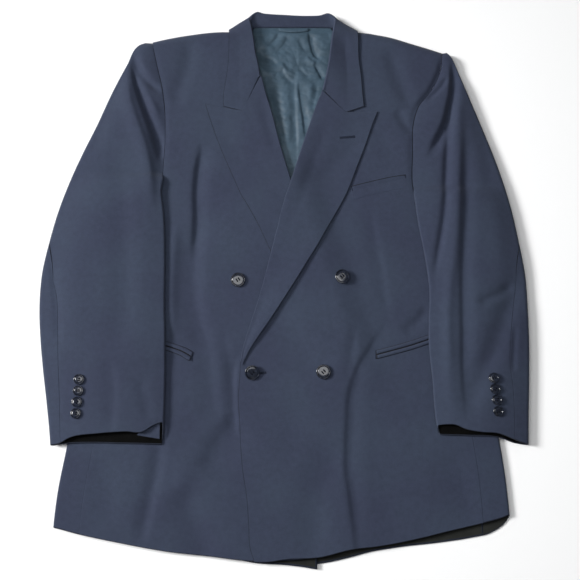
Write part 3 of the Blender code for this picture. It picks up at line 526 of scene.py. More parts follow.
# y, x: the edges where a lapel turns back, each down to its front's free edge and the hem
ROLL_LINE = {
    "left": curve([(425, 64), (399, 62), (351, 58), (303, 48), (288, 42), (253, 30), (210, 16), (187, 9),
                   (159, 0), (129, -9.5), (82, -21), (54, -28), (-5, -43), (-52, -58), (-91, -69),
                   (-115, -72)]),
    "right": curve([(425, -55), (399, -55), (375, -54), (351, -49), (332, -44), (303, -37), (269, -27),
                    (225, -16), (190, -6), (159, 3.5), (105, 20.5), (45, 40), (-15, 60), (-75, 78),
                    (-115, 90)]),
}
FREE_EDGE = {
    "left": curve([(-92, -71), (-115, -71.5), (-138, -73), (-156, -74), (-187, -72), (-225, -70),
                   (-257, -67), (-294, -61), (-332, -58), (-367, -55), (-381, -50)]),
    "right": curve([(-92, 85), (-126, 92), (-145, 87), (-163, 84), (-190, 84), (-222, 81), (-261, 81),
                    (-287, 85), (-348, 90), (-381, 92)]),
}
LAPEL_EDGE = {
    "left": curve([(270, 131), (253, 124), (221, 113), (187, 100), (155, 88), (126, 75), (94, 58),
                   (63, 40.5), (39, 25), (12, 8), (-14, -9), (-42, -27.5), (-63, -42), (-84, -56),
                   (-98, -63.5), (-112, -69), (-125, -73)]),
    "right": curve([(282, -127), (270, -123), (250, -116), (218, -104), (183, -89), (149, -74), (111, -56),
                    (80, -41), (54, -28), (12, -6), (-14, 13), (-42, 32), (-63, 48), (-84, 64), (-98, 74)]),
}
FRONT_CREASES = creases([
    ("right armhole seam", [(-209, 392), (-206, 367), (-200, 341), (-193, 313), (-189, 288), (-186, 234),
                            (-188, 190), (-191, 150)], 0.9, 5, 6),
    ("left armhole seam, top", [(236, 366), (229, 345), (226, 333), (211, 303), (193, 280), (186, 262)],
     3.0, 6, 5),
    ("left armhole seam", [(191, 290), (185, 255), (182, 205), (183, 165), (186, 130)], 1.3, 5, 5),
    ("right dart", [(-130, 232), (-131, 208), (-136, 180), (-138, 145), (-137, 110), (-138, 78),
                    (-141, 40)], 4.6, 14, 5),
    ("right dart, low", [(-138, 105), (-141, 40), (-140, -10), (-132, -48), (-122, -78), (-117, -118)],
     4.0, 12, 22),
    ("swell beside the sleeve", [(-166, 110), (-170, 60), (-172, 10), (-171, -40), (-168, -75)],
     -2.2, 8, 9),
    ("right dart, end", [(-120, -80), (-115, -120), (-111, -160), (-104, -200)], 1.9, 10, 20),
    ("inward of the right pocket", [(-96, -55), (-92, -85), (-86, -115), (-82, -145)], 1.0, 7, 9),
    ("from the right cuff", [(-118, -268), (-108, -240), (-95, -214), (-80, -194), (-68, -178)],
     3.8, 16, 34),
    ("skirt by the right cuff", [(-183, -200), (-186, -240), (-190, -268), (-197, -300),
                                 (-204, -335), (-210, -370)], 3.0, 8, 12),
    ("hollow over the hem", [(-160, -275), (-142, -315), (-126, -350), (-116, -392)], 3.2, 22, 26),
    ("skirt swell", [(-148, -225), (-152, -270), (-176, -325)], -1.3, 15, 15),
    ("outer skirt", [(-262, -228), (-256, -280), (-262, -345)], 1.4, 16, 30),
    ("right shoulder", [(-150, 396), (-154, 350), (-166, 308), (-178, 272)], 2.8, 13, 14),
    ("right armhole", [(-120, 372), (-134, 330), (-150, 290)], 0.9, 14, 20),
    ("right chest", [(-100, 150), (-112, 110), (-118, 60)], 1.0, 16, 20),
    ("beside the free edge", [(-70, -84), (-79, -110), (-81, -145), (-79, -180), (-77, -220)], 2.4, 3, 11),
    ("left dart", [(118, 130), (126, 70), (134, 20), (139, -20), (142, -55)], 1.1, 6, 12),
    ("left armhole", [(158, 276), (170, 254), (184, 234)], 2.0, 7, 7),
    ("left shoulder", [(148, 378), (160, 335), (172, 300), (184, 270)], 2.4, 12, 12),
    ("left chest", [(128, 250), (142, 215), (160, 190)], 0.9, 14, 14),
    ("middle of the skirt", [(60, -205), (52, -250), (38, -300), (34, -345), (46, -392)], 2.8, 22, 26),
    ("left skirt", [(232, -220), (240, -270), (258, -345)], 1.6, 18, 30),
    ("right of button four", [(12, -150), (4, -200), (-2, -260)], 0.9, 20, 20),
    ("belly", [(-30, 60), (-8, 10), (22, -50)], 0.8, 22, 24),
])
OVER_CREASES = creases([
    ("edge of the front below", [(152, -30), (140, -49), (125, -69), (114, -88), (102, -106), (93, -126),
                                 (87, -145), (84, -163), (83, -190), (81, -222), (81, -261), (85, -287),
                                 (92, -348), (96, -392)], 2.4, 16, 4),
    ("beside the imprint", [(96, -45), (90, -80), (86, -112), (84, -140)], 1.2, 6, 9),
    ("beside the left sleeve", [(160, -62), (184, -46), (202, -22)], 2.0, 7, 9),
])


def by_side(x, of_side):
    return np.where(x < 0, of_side("right"), of_side("left"))


def rolled(low, height, inside):
    """A height that rolls down to low near an edge, inside being the distance from it."""
    t = np.clip(inside / SHOULDER_ROLL, 0, 1)
    return low + (height - low) * np.sqrt(1 - (1 - t) ** 2)


def inner_front(x, y):
    """Upper face of the front that lies next to the hollow of the body."""
    reach = by_side(x, lambda side: SIDE_FOLD[side](y)) + ARM_REACH * fade(y, *ARM_REACH_Y)
    inside = reach - abs(x)
    t = np.clip(inside / FOLD_REACH, 0, 1)
    height = FOLD_TOP + (CROWN(y) - FOLD_TOP) * (1 - (1 - t) ** 2)
    height = height + FRONT_CREASES(x, y) * ease(inside / CREASE_INSET)
    edge = WALL + back_raise(x, y) + SEAM + SHOULDER_EDGE
    return rolled(edge, height, by_side(x, lambda side: SHOULDER[side](abs(x))) - y)


def outer_front(x, y):
    """Upper face of the left front, lifted by the right front and its lapel under it."""
    past = x - mix(FREE_EDGE["right"](y), ROLL_LINE["right"](y), fade(y, *EDGE_TO_ROLL))
    step = mix(fade(past, *SOFT_STEP), fade(past, *SHARP_STEP), SHARP_SHARE * fade(y, *SHARP_Y))
    over_lapel = fade(x - LAPEL_EDGE["right"](y), *UNDER_LAPEL_EDGE) * fade(past, *UNDER_LAPEL)
    lift = (WALL + LAY + LAPPED_SPARE) * step
    lift = lift + (LEAF + LAPEL_SPARE) * over_lapel * fade(y, *UNDER_LAPEL_Y)
    return inner_front(x, y) + lift * fade(y, *LAPPED_Y) + OVER_CREASES(x, y)


FRONT_HEIGHT = {"right": inner_front, "left": outer_front}

# ---------------------------------------------------------------- Side panels
# A narrow panel under each arm, from the back seam round the side fold to the front seam. Its
# inside is charcoal cloth, painted darker than its own colour as shade where it shows at the hem.

FOLD_RADIUS = 3.2
SIDE_TOP = ARMPIT - 2.0
SIDE_LOW = -330.0
SIDE_COLUMNS, SIDE_ROWS = 47, 91
# w, y
HEM = {
    "right": curve([(-96, -356), (-84, -362), (-44, -375), (-20, -379), (10, -381), (55, -381.5),
                    (110, -375.5), (174, -368.5), (244, -356), (298, -345), (330, -337), (336, -336)]),
    "left": curve([(-60, -383), (-50, -383), (-24, -382), (-12, -380), (44, -376), (83, -366.5),
                   (125, -361.5), (154, -356.5), (185, -350), (214, -343), (245, -336), (275, -329),
                   (300, -322), (312, -317)]),
}


def side_place(side):
    def place(u, v):
        arc = math.pi * FOLD_RADIUS
        under = SIDE_PANEL - FOLD_RADIUS
        run = u * (2 * under + arc)
        angle = np.clip((run - under) / FOLD_RADIUS, 0, math.pi)
        inside = np.where(run < under, SIDE_PANEL - run,
                          np.where(run > under + arc, run - under - arc + FOLD_RADIUS,
                                   FOLD_RADIUS * (1 - np.sin(angle))))
        up = (1 - np.cos(angle)) / 2
        y = mix(SIDE_TOP, SIDE_LOW, v)
        for _ in range(ROUNDS):
            w = SIDE_FOLD[side](y) - inside
            y = mix(SIDE_TOP, mix(BACK_HEM[side](w), HEM[side](w), up), v)
        w = SIDE_FOLD[side](y) - inside
        level = SIDE_FOLD[side](y) - np.maximum(inside, FOLD_RADIUS)
        return SIGN[side] * w, y, up * FRONT_HEIGHT[side](SIGN[side] * level, y)
    return place


for side in SIGN:
    side_piece = cloth_piece(f"side_panel_{side}", edged(even(SIDE_COLUMNS)), edged(even(SIDE_ROWS)),
                             side_place(side), twill, turned=side == "right", inside=charcoal_and_shade,
                             shaded_edges=[(-1, EVERY)])
    laid(side_piece, [f"side_{side}"])

# ---------------------------------------------------------------- Fronts
# The wearer's left front laps over the right one. Each runs from its roll line or free edge to the
# armhole and the side panel, and turns over the shoulder to meet the back.

ARMHOLE = {
    "right": curve([(386, 210), (367, 206), (341, 200), (313, 193), (288, 189), (234, 186), (190, 187.5),
                    (170, 188.5), (152, 190), (135, 195), (115, 207), (88, 240)]),
    "left": curve([(370, 231), (357, 230), (345, 229), (333, 226), (303, 211), (280, 193), (264, 187),
                   (205, 182), (147, 183), (112, 196), (88, 226)]),
}
# y, x where each front's neck edge leaves the roll, under the collar
NECK_EDGE = {
    "left": curve([(300, 52), (308, 62), (322, 69), (340, 76), (365, 82), (397, 87)]),
    "right": curve([(322, -48), (330, -58), (345, -66), (360, -71), (378, -75), (397, -79)]),
}
NECK_END = {"left": 303, "right": 322}
ROLL = 0.9
IN_FOLD = 1.4
FLUSH_SEAM = 0.06
# y over which the free edge gives way to the roll, and past the neck's end the roll to the neck
BREAK = (-106.0, -100.0)
NECK_BREAK = (-4, 4)
FRONT_TOP = 397.0
TOP_GAP = 1.5
FRONT_LOW = (-381.0, -331.0)
FRONT_COLUMNS, FRONT_ROWS = 121, 260
ROLL_ROWS = 9


def front_inner(side):
    sign = SIGN[side]

    def read(y):
        turned = ROLL_LINE[side](y) + sign * (ROLL + IN_FOLD)
        edge = mix(FREE_EDGE[side](y), turned, fade(y, *BREAK))
        return sign * mix(edge, NECK_EDGE[side](y) + sign * SEAM, fade(y - NECK_END[side], *NECK_BREAK))
    return read


def front_place(side):
    def outer(y):
        side_seam = SIDE_FOLD[side](y) - SIDE_PANEL - FLUSH_SEAM
        return np.where(y > ARMPIT, ARMHOLE[side](y) - SEAM, side_seam)

    def place(u, v):
        ends = (FRONT_TOP, SLEEVE_TOP[side] - TOP_GAP, *FRONT_LOW)
        w, y = panel_point(u, v, front_inner(side), outer, SHOULDER[side], HEM[side], ends)
        x = SIGN[side] * w
        return x, y, FRONT_HEIGHT[side](x, y)
    return place


def shoulder_rows(length, rows):
    """Fractions down a panel whose first steps follow the roll over the shoulder."""
    first = SHOULDER_ROLL * (1 - np.cos(np.linspace(0, math.pi / 2, ROLL_ROWS)))
    return edged(np.concatenate([first, np.linspace(SHOULDER_ROLL, length, rows)[1:]]) / length)


for side in SIGN:
    front = cloth_piece(f"front_panel_{side}", edged(even(FRONT_COLUMNS)),
                        shoulder_rows(FRONT_TOP - FRONT_LOW[0], FRONT_ROWS), front_place(side), twill,
                        turned=side == "left", shaded_edges=[(EVERY, 0), (-1, EVERY)])
    laid(front, [f"front_{side}"])

# ---------------------------------------------------------------- Lapels
# Wide peak lapels, turned back along a soft roll that runs down to the top button, and meeting the
# collar along the gorge seam.

# x, y: the upper edges, from the roll along the gorge seam to the tip of the peak
GORGE = {
    "left": curve([(48, 304), (83, 269.5), (100, 268.5), (131, 270)], True),
    "right": curve([(-127, 282), (-98, 276), (-71, 271.5), (-44, 327)], True),
}
NOTCH = {"left": 83, "right": -71}
LAPEL_TOP = {"left": (304.0, 270.0), "right": (327.0, 282.0)}
LAPEL_LOW = (-103.0, -109.0)
LAPEL_CREASES = {
    "right": creases([
        ("across the peak", [(-108, 262), (-92, 225), (-66, 178)], 0.9, 10, 14),
        ("beside the roll", [(-46, 300), (-34, 255), (-18, 200)], 1.2, 9, 8),
        ("low", [(-40, 110), (-22, 70), (-4, 30)], 0.8, 12, 12),
    ]),
    "left": creases([
        ("across the peak", [(112, 250), (92, 215), (62, 178), (44, 150)], 1.0, 14, 14),
        ("beside the roll", [(56, 262), (40, 205), (24, 160), (8, 110)], 1.0, 9, 10),
        ("middle", [(42, 120), (20, 72), (-2, 30), (-24, -12)], 0.5, 11, 14),
    ]),
}
LAPEL_SPRING = {"right": 0.6, "left": 2.8}
ROLL_RISE = {"right": 1.2, "left": 3.6}
LAPEL_ARC, LAPEL_ACROSS, LAPEL_ROWS = 12, 40, 110
GORGE_FADE = 3
# y over which the lapel is in its upper part, its roll nears the neck, it springs up, and the
# spring and the creases come in from its low end
UPPER_LAPEL = (110, 200)
NECK_ROLL_Y = (235, 295)
SPRING_Y = (150, -40)
SPRING_END = (-108, -58)
LAPEL_CREASES_Y = (-98, -58)
LOW_ROLL_RISE = 0.3
NECK_ROLL_RISE = 0.8
# how fast the roll's rise dies away across the lapel, low down and high up, and its spring comes in
ROLL_DROP = (3.5, 1.4)
SPRING_GAIN = 1.1


def lapel_place(side):
    sign = SIGN[side]
    top_in, top_out = LAPEL_TOP[side]
    start, tip = ROLL_LINE[side](top_in) + sign * ROLL, LAPEL_EDGE[side](top_out)
    notch = (NOTCH[side] - start) / (tip - start)

    def place(u, v):
        column = u * (LAPEL_ARC + LAPEL_ACROSS)
        step = np.clip(column - LAPEL_ARC, 0, None) / LAPEL_ACROSS
        t = np.where(step < 0.5, 2 * step * notch, mix(notch, 1.0, 2 * step - 1))
        angle = math.pi * np.clip(column / LAPEL_ARC, 0, 1)
        inside = np.where(column <= LAPEL_ARC, ROLL * (1 - np.sin(angle)), ROLL)
        up = (1 - np.cos(angle)) / 2
        y_in, y_out = mix(top_in, LAPEL_LOW[0], v), mix(top_out, LAPEL_LOW[1], v)
        x = mix(ROLL_LINE[side](y_in) + sign * inside, LAPEL_EDGE[side](y_out), t)
        y = mix(y_in, y_out, t) + (1 - v) ** GORGE_FADE * (GORGE[side](x) - mix(top_in, top_out, t))
        ground = sign * np.maximum(sign * x, sign * ROLL_LINE[side](y) + ROLL + IN_FOLD + 1)
        level = FRONT_HEIGHT[side](ground, y)
        upper = fade(y, *UPPER_LAPEL)
        high_rise = mix(ROLL_RISE[side], NECK_ROLL_RISE, fade(y, *NECK_ROLL_Y))
        soft = mix(LOW_ROLL_RISE, high_rise, upper) * (1 - ease(t * mix(*ROLL_DROP, upper)))
        spring = LAPEL_SPRING[side] * ease(t * SPRING_GAIN) * fade(y, *SPRING_Y) * fade(y, *SPRING_END)
        creased = LAPEL_CREASES[side](x, y) * fade(y, *LAPEL_CREASES_Y)
        return x, y, mix(level - WALL, level + LEAF + soft + spring + creased, up)
    return place


for side in SIGN:
    lapel = cloth_piece(f"peak_lapel_{side}", edged(even(LAPEL_ARC + LAPEL_ACROSS + 1)),
                        edged(even(LAPEL_ROWS)), lapel_place(side), twill, turned=side == "left",
                        shaded_edges=[(EVERY, -1)])
    laid(lapel, [f"lapel_{side}"])

# ---------------------------------------------------------------- Collar
# Stand and leaf in one, folded round the neck. At the back the leaf is turned under the blazer, and
# in front it meets the lapels along the gorge seams.

# Sections from the wearer's right front end, round the back neck, to the left one: neck seam, fold,
# middle of the leaf and leaf edge, as x, y and z. A z of None is the leaf's height on the front.
COLLAR = [
    ((-50, 326.5, 14.3), (-44.5, 325.5, 19.2), (-70.5, 270.5, None), (-100, 278.5, None)),
    ((-61, 342, 14.3), (-47.5, 345, 19.2), (-78, 309, None), (-100, 297, None)),
    ((-67.5, 361, 14.0), (-52, 366, 18.6), (-76, 343, None), (-96, 325, None)),
    ((-71.5, 380, 12.8), (-55, 388, 17.4), (-75, 372, None), (-93, 355, None)),
    ((-72, 395, 10.0), (-58.5, 408, 15.2), (-77, 398, 16.6), (-92.5, 392, 17.6)),
    ((-67, 404, 7.4), (-61, 423, 12.0), (-79, 414, 9.0), (-92, 405.5, 8.0)),
    ((-58, 408, 6.0), (-51, 433, 9.5), (-65, 418, 2.0), (-80, 403, 0.6)),
    ((-44, 409, 5.8), (-38, 430.5, 9.0), (-44, 409, 0.8), (-58, 383, 0.3)),
    ((-15, 409, 5.8), (-10, 428.5, 9.0), (-13, 406, 0.5), (-18, 381, 0.2)),
    ((18, 409, 5.8), (19, 427, 9.0), (20, 405, 0.5), (24, 381, 0.2)),
    ((48, 409, 5.8), (44, 427.3, 9.4), (50, 407, 0.8), (64, 383, 0.3)),
    ((64, 408, 6.0), (58.5, 430.5, 10.5), (71, 416, 2.0), (88, 402, 0.6)),
    ((74, 404, 7.4), (68, 421, 14.5), (86, 411.5, 10.6), (101, 403.5, 9.0)),
    ((79, 395, 10.0), (66, 405, 18.0), (86, 396, 18.4), (103.5, 391, 17.9)),
    ((79.5, 379, 12.8), (62.5, 384, 21.0), (83, 370, None), (104, 356, None)),
    ((76.5, 360, 14.0), (60, 362, 22.5), (85, 342, None), (107, 328, None)),
    ((69, 334, 14.3), (56, 336, 22.0), (86, 308, None), (109, 299, None)),
    ((54.5, 306.5, 14.3), (49, 303.3, 19.5), (83.6, 268.3, None), (111, 278.5, None)),
]
COLLAR_FOLD = 2.2
COLLAR_LEAF = 2.45
NOTCH_PART = slice(-9, None)
COLLAR_WALL = 1.2
STAND_STEPS, BEND_STEPS, LEAF_STEPS, RIM_STEPS = 6, 9, 12, 9
RUN_STEP = 0.2
COLLAR_SECTIONS = 171


def smooth_between(points, t):
    """A curve through a list of points, t from 0 to their number less one."""
    i = min(int(t), len(points) - 2)
    s = t - i
    a, b = points[i], points[i + 1]
    before = points[i - 1] if i > 0 else a * 2 - b
    after = points[i + 2] if i + 2 < len(points) else b * 2 - a
    start, end = (b - before) / 2, (after - a) / 2
    rise = b - a
    return a + (start + (rise * 3 - start * 2 - end + (start + end - rise * 2) * s) * s) * s


def collar_section(seam, fold, middle, edge, run):
    """One section of the collar: up the stand, round the fold, and down the leaf."""
    to_stand, to_leaf = (seam - fold).normalized(), (middle - fold).normalized()
    across = run.cross(to_stand).normalized()
    inward = to_stand + to_leaf
    inward = (inward - across * inward.dot(across)).normalized()
    centre = fold + inward * COLLAR_FOLD
    bend = []
    for angle in np.linspace(-math.pi / 2, math.pi / 2, BEND_STEPS):
        bend.append(centre + (across * math.sin(angle) - inward * math.cos(angle)) * COLLAR_FOLD)
    stand = [seam.lerp(bend[0], i / STAND_STEPS) for i in range(STAND_STEPS)]
    leaf = [bend[-1].lerp(middle, i / LEAF_STEPS) for i in range(1, LEAF_STEPS + 1)]
    return stand + bend + leaf + [middle.lerp(edge, t) for t in edged(even(RIM_STEPS))[2:]]


def collar_points(stops):
    guides = [[], [], [], []]
    for section in COLLAR:
        for guide, (x, y, z) in zip(guides, section):
            guide.append(Vector((x, y, float(inner_front(x, y)) + COLLAR_LEAF if z is None else z)))
    last, fold = len(COLLAR) - 1, guides[1]
    sections = []
    for stop in stops:
        ahead, behind = min(stop + RUN_STEP, last), max(stop - RUN_STEP, 0)
        run = smooth_between(fold, ahead) - smooth_between(fold, behind)
        sections.append(collar_section(*(smooth_between(guide, stop) for guide in guides), run))
    return np.array(sections)


collar_grid = collar_points(edged(np.linspace(0, len(COLLAR) - 1, COLLAR_SECTIONS)))
collar = cloth_piece("collar_leaf_and_stand", even(collar_grid.shape[1]), even(collar_grid.shape[0]),
                     lambda u, v: np.moveaxis(collar_grid, 2, 0), twill, wall=COLLAR_WALL,
                     turned=True, shaded_edges=[(EVERY, -1), (0, NOTCH_PART), (-1, NOTCH_PART)])
laid(collar, ["collar"])

# ---------------------------------------------------------------- Sleeves
# Two-piece sleeves, laid beside the body and a little over it. The elbow seam shows on the upper
# face, and turns underneath toward the shoulder. Each cuff is open at the end, its inside a near-black
# painted shade.

# y, w
INNER_FOLD = {
    "right": curve([(383, 205), (152, 190), (112, 185), (54, 182), (-20, 181), (-72, 179), (-154, 178),
                    (-221, 179)]),
    "left": curve([(367, 236), (147, 182), (103, 187), (52, 196), (-5, 202), (-45, 200), (-72, 199),
                   (-127, 203), (-196, 208), (-222, 213)]),
}
OUTER_FOLD = {
    "right": curve([(384, 218), (380, 228), (374, 235), (365, 240.5), (350, 246.5), (332, 255), (296, 272),
                    (257, 288), (212, 308), (168, 326), (119, 342.5), (70, 354.5), (31, 362), (-16, 364.5),
                    (-70, 361), (-120, 354.5), (-163, 348), (-206, 342), (-223, 340)]),
    "left": curve([(368, 238), (364, 242), (358, 246), (350, 250), (328, 258.5), (289, 273),
                   (236, 293), (186, 310.3), (128, 326), (68, 337.4), (19, 344.4), (-16, 345.5),
                   (-70, 345.7), (-125, 343.7), (-179, 340.7), (-222, 338.7)]),
}
ELBOW_SEAM = {
    "right": curve([(15, 19), (-5, 25.5), (-58, 28), (-106, 25), (-208, 16.5)]),
    "left": curve([(15, 15.5), (-26, 22.5), (-63, 27.5), (-97, 29.5), (-155, 23.5), (-202, 21.5)]),
}
# w, y
CUFF_UPPER = {
    "right": curve([(178, -190), (187, -192), (197, -197), (206, -203), (232, -203.5), (269, -206),
                    (314, -213), (330, -221), (338, -222)]),
    "left": curve([(203, -196), (225, -193.5), (236, -194), (249, -200), (269, -204), (296, -206.5),
                   (311, -212), (330, -219), (338, -221)]),
}
CUFF_LOWER = {
    "right": curve([(178, -221), (232, -220), (272, -219), (314, -220), (338, -223)]),
    "left": curve([(203, -207), (220, -208), (253, -209), (297, -212), (318, -219), (338, -222)]),
}
# x, y
HIP_POCKET = {
    "right": [(-141, -97), (-153, -90), (-169, -84), (-182, -80), (-210, -71), (-245, -60)],
    "left": [(124, -94), (143, -89), (172, -81), (202, -71), (232, -61)],
}
SLEEVE_IN_RADIUS = 2.8
SLEEVE_OUT_RADIUS = 6.0
SLEEVE_OUT_TOP = 12.0
SLEEVE_IN_TOP = 5.8
SLEEVE_LIFT = 0.6
IN_ARC = math.pi * SLEEVE_IN_RADIUS
IN_SEAM = 0.70
JET_RISE = 1.5
SLEEVE_CREASES = {
    "right": creases([
        ("upper drag fold", [(-240, 368), (-232, 348), (-222, 330), (-210, 315), (-190, 300)], 4.2, 5, 6),
        ("drag fold swell", [(-236, 336), (-222, 309), (-208, 285), (-193, 262)], -2.4, 5, 6),
        ("long fold", [(-242, 362), (-235, 335), (-229, 313), (-221, 288), (-212, 263), (-203, 238),
                       (-196, 212), (-192, 185)], 8.0, 9, 5),
        ("swell beside it", [(-250, 352), (-246, 320), (-239, 285), (-229, 255), (-218, 225), (-209, 190),
                             (-204, 155), (-202, 110)], -3.6, 6, 14),
        ("front crease", [(-262, 250), (-252, 180), (-245, 110), (-241, 40), (-240, -30), (-246, -80),
                          (-260, -120)], 2.6, 18, 22),
        ("front crease, low", [(-262, -95), (-252, -135), (-251, -175), (-256, -215)], 1.7, 7, 14),
        ("elbow", [(-352, 60), (-343, 10), (-336, -40), (-334, -90)], 1.6, 8, 5),
        ("shoulder", [(-262, 318), (-282, 262), (-296, 200)], 1.2, 12, 14),
        ("outer swell", [(-300, 160), (-312, 70), (-312, -40), (-302, -130)], -1.4, 24, 24),
        ("cuff", [(-214, -120), (-206, -160), (-196, -192)], 1.2, 9, 9),
    ]),
    "left": creases([
        ("second drag fold", [(240, 330), (228, 311), (215, 297), (203, 286)], 2.4, 3.5, 4),
        ("fold of the cap", [(246, 360), (247, 330), (245, 303), (240, 278), (234, 256), (226, 238),
                             (216, 219), (203, 195)], 7.0, 9, 5),
        ("inner valley", [(242, 300), (238, 250), (234, 210), (231, 165), (228, 125), (223, 88), (217, 58),
                          (212, 28), (206, -5)], 4.0, 5, 5.5),
        ("long swell", [(254, 345), (252, 270), (250, 205), (247, 150), (243, 100), (238, 55), (231, 10),
                        (227, -45), (227, -105), (228, -155), (233, -205)], -2.6, 8, 9),
        ("outer valley", [(266, 270), (261, 210), (258, 155), (256, 105), (253, 55), (251, 0), (250, -60),
                          (249, -110), (250, -150), (253, -205)], 3.6, 13, 6),
        ("elbow crease", [(334, 48), (328, 14), (322, -12), (313, -32), (305, -52), (297, -73), (288, -95),
                          (277, -115), (266, -138), (258, -164), (251, -200)], 3.8, 14, 16),
        ("elbow hollow", [(328, 10), (300, -8), (266, -22)], 2.8, 7, 8),
        ("elbow line", [(326, -45), (322, -85), (318, -125)], 1.5, 4, 5),
        ("upper arm", [(280, 280), (292, 210), (300, 140)], 1.4, 14, 14),
        ("outer swell", [(296, 150), (304, 80), (300, 20)], -1.4, 16, 16),
    ]),
}

# the deep trough in the sleeve under the arm on the wearer's right, along the armhole seam
UNDERARM_TROUGH = creases([
    ("under the arm", [(-191, 290), (-186.5, 250), (-185, 205), (-186, 172), (-189, 138)], 3.9, 4, 15),
])
# low folds of the undersleeves where they lie on the table, as w and y
UNDER_CREASES = creases([
    ("below the armhole", [(262, 190), (285, 160), (300, 118)], -1.6, 8, 10),
    ("elbow", [(318, 42), (336, 8), (338, -30)], -1.2, 7, 9),
    ("elbow, across", [(300, -16), (322, -28), (340, -22)], -0.9, 5, 7),
    ("forearm", [(326, -84), (318, -128), (322, -176)], -1.4, 9, 8),
])
# y where the inner fold of the sleeve and the armhole seam meet
UNDERARM = {"right": 171, "left": 151}
# past the underarm in y: where the sleeve comes level with the front, where its fold goes to the
# armhole, and where its inner edge turns under
LEVEL_WITH_FRONT = (-11, 14)
FOLD_TO_ARMHOLE = (-33, -6)
TURNED_UNDER = (5, -21)
# above this y the sleeve narrows where it is less wide than this
CAP_LOW = 150
CAP_WIDTH = 74
LEAST_SQUEEZE = 0.4
# out from the hip pocket's line, and out from the side fold or in from it where below 0
ON_JETS = (32, 16)
ON_BODY = (-26, -4)
ON_TABLE = (-10, -30)
ON_BODY_Y = (190, 100)
# where the sleeve still lies on the front: out from the armhole, and past the underarm in y
NEAR_FRONT = (36, 14)
NEAR_FRONT_Y = (19, -3)
# the rise over the armhole seam: how much, where it is past the underarm, and its length
SEAM_RISE, SEAM_RISE_AT, SEAM_RISE_LENGTH = 0.7, -19, 18
# doming of the upper face, on the tube and on the cap, and the width from which it is full
TUBE_DOME, CAP_DOME, DOME_WIDTH = 5.5, 4.0, 60
DOME_POWER = 1.7
# creases start past the seam, in from the fold, and end at the outer fold
CREASE_START = 5
CREASE_IN = (0, 5)
CREASE_OUT = (8, 0)
SLEEVE_END = 5.6
ELBOW_UNDER = -18.0
ELBOW_TURN = (12, 142)
CUFF_LEVEL = -212.0
CUFF_SHAPE_Y = (90, -200)


def openness(side, y):
    """0 where the sleeve stands above the front at its inner fold, 1 where it is level with it."""
    return fade(y - UNDERARM[side], *LEVEL_WITH_FRONT)


def inner_fold_at(side, y):
    at_armhole = fade(y - UNDERARM[side], *FOLD_TO_ARMHOLE)
    return mix(INNER_FOLD[side](y), ARMHOLE[side](y) + SEAM - SLEEVE_IN_RADIUS, at_armhole)


def squeeze_at(side, y):
    """1 along most of the sleeve, less where it narrows toward the shoulder point."""
    width = OUTER_FOLD[side](y) - ARMHOLE[side](y)
    return np.where(y > CAP_LOW, np.minimum(1.0, width / CAP_WIDTH), 1.0)


def outer_radius(side, y):
    return SLEEVE_OUT_RADIUS * np.maximum(squeeze_at(side, y), LEAST_SQUEEZE)


def sleeve_bottom(side, w, y):
    """Underside of the sleeve: on the front near the body, on the table beyond its side fold."""
    inside = SIDE_FOLD[side](y) - w
    level = SIGN[side] * np.minimum(w, SIDE_FOLD[side](y) - FOLD_RADIUS)
    from_pocket = abs(path_distance(SIGN[side] * w, y, HIP_POCKET[side])[0])
    on_body = FRONT_HEIGHT[side](level, y) + LAY + SLEEVE_LIFT + JET_RISE * fade(from_pocket, *ON_JETS)
    from_seam = (y - UNDERARM[side] - SEAM_RISE_AT) / SEAM_RISE_LENGTH
    on_body = on_body + SEAM_RISE * np.exp(-from_seam ** 2)
    near_front = fade(w - ARMHOLE[side](y), *NEAR_FRONT) * fade(y - UNDERARM[side], *NEAR_FRONT_Y)
    on_body = on_body * fade(inside, *ON_BODY) * np.maximum(fade(y, *ON_BODY_Y), near_front)
    return on_body + UNDER_CREASES(w, y) * fade(inside, *ON_TABLE)


def sleeve_top(side, w, y):
    """Upper face of the sleeve."""
    outer_w = OUTER_FOLD[side](y) - outer_radius(side, y)
    tube_w, cap_w = inner_fold_at(side, y) + SLEEVE_IN_RADIUS, ARMHOLE[side](y)

    def dome(start_w, start, crown):
        t = np.clip((w - start_w) / np.maximum(outer_w - start_w, 1.0), 0, 1)
        rise = crown * ease((outer_w - start_w) / DOME_WIDTH)
        return mix(start, SLEEVE_OUT_TOP, t ** DOME_POWER) + rise * 4 * t * (1 - t)

    tube = dome(tube_w, sleeve_bottom(side, tube_w, y) + SLEEVE_IN_TOP, TUBE_DOME)
    cap = dome(cap_w, FRONT_HEIGHT[side](SIGN[side] * (cap_w - 1), y), CAP_DOME)
    cap = cap + UNDERARM_TROUGH(SIGN[side] * w, y)
    height = mix(tube, cap, openness(side, y))
    seam_w = mix(tube_w - CREASE_START, cap_w, ease(openness(side, y) * 4))
    shown = fade(w - seam_w, *CREASE_IN) * fade(w - outer_w, *CREASE_OUT)
    height = height + SLEEVE_CREASES[side](SIGN[side] * w, y) * shown
    return rolled(SLEEVE_END, height, SLEEVE_TOP[side] + TOP_GAP - y)


def outer_station(side, y, q):
    """Places q mm along the section from the outermost point, positive on the upper face."""
    radius = outer_radius(side, y)
    reach = radius * math.pi / 2
    angle = np.clip(q / reach, -1, 1) * math.pi / 2
    past = np.maximum(abs(q) - reach, 0)
    return OUTER_FOLD[side](y) - radius + radius * np.cos(angle) - past, (1 + np.sin(angle)) / 2


def inner_place(side, y, p):
    """Places p mm along the section from the top of the inner fold: below 0 they turn under."""
    angle = math.pi * (1 + np.clip(p / IN_ARC, -1, 0))
    fold = inner_fold_at(side, y)
    return fold + SLEEVE_IN_RADIUS * (1 - np.sin(angle)) + np.maximum(p, 0), (1 - np.cos(angle)) / 2


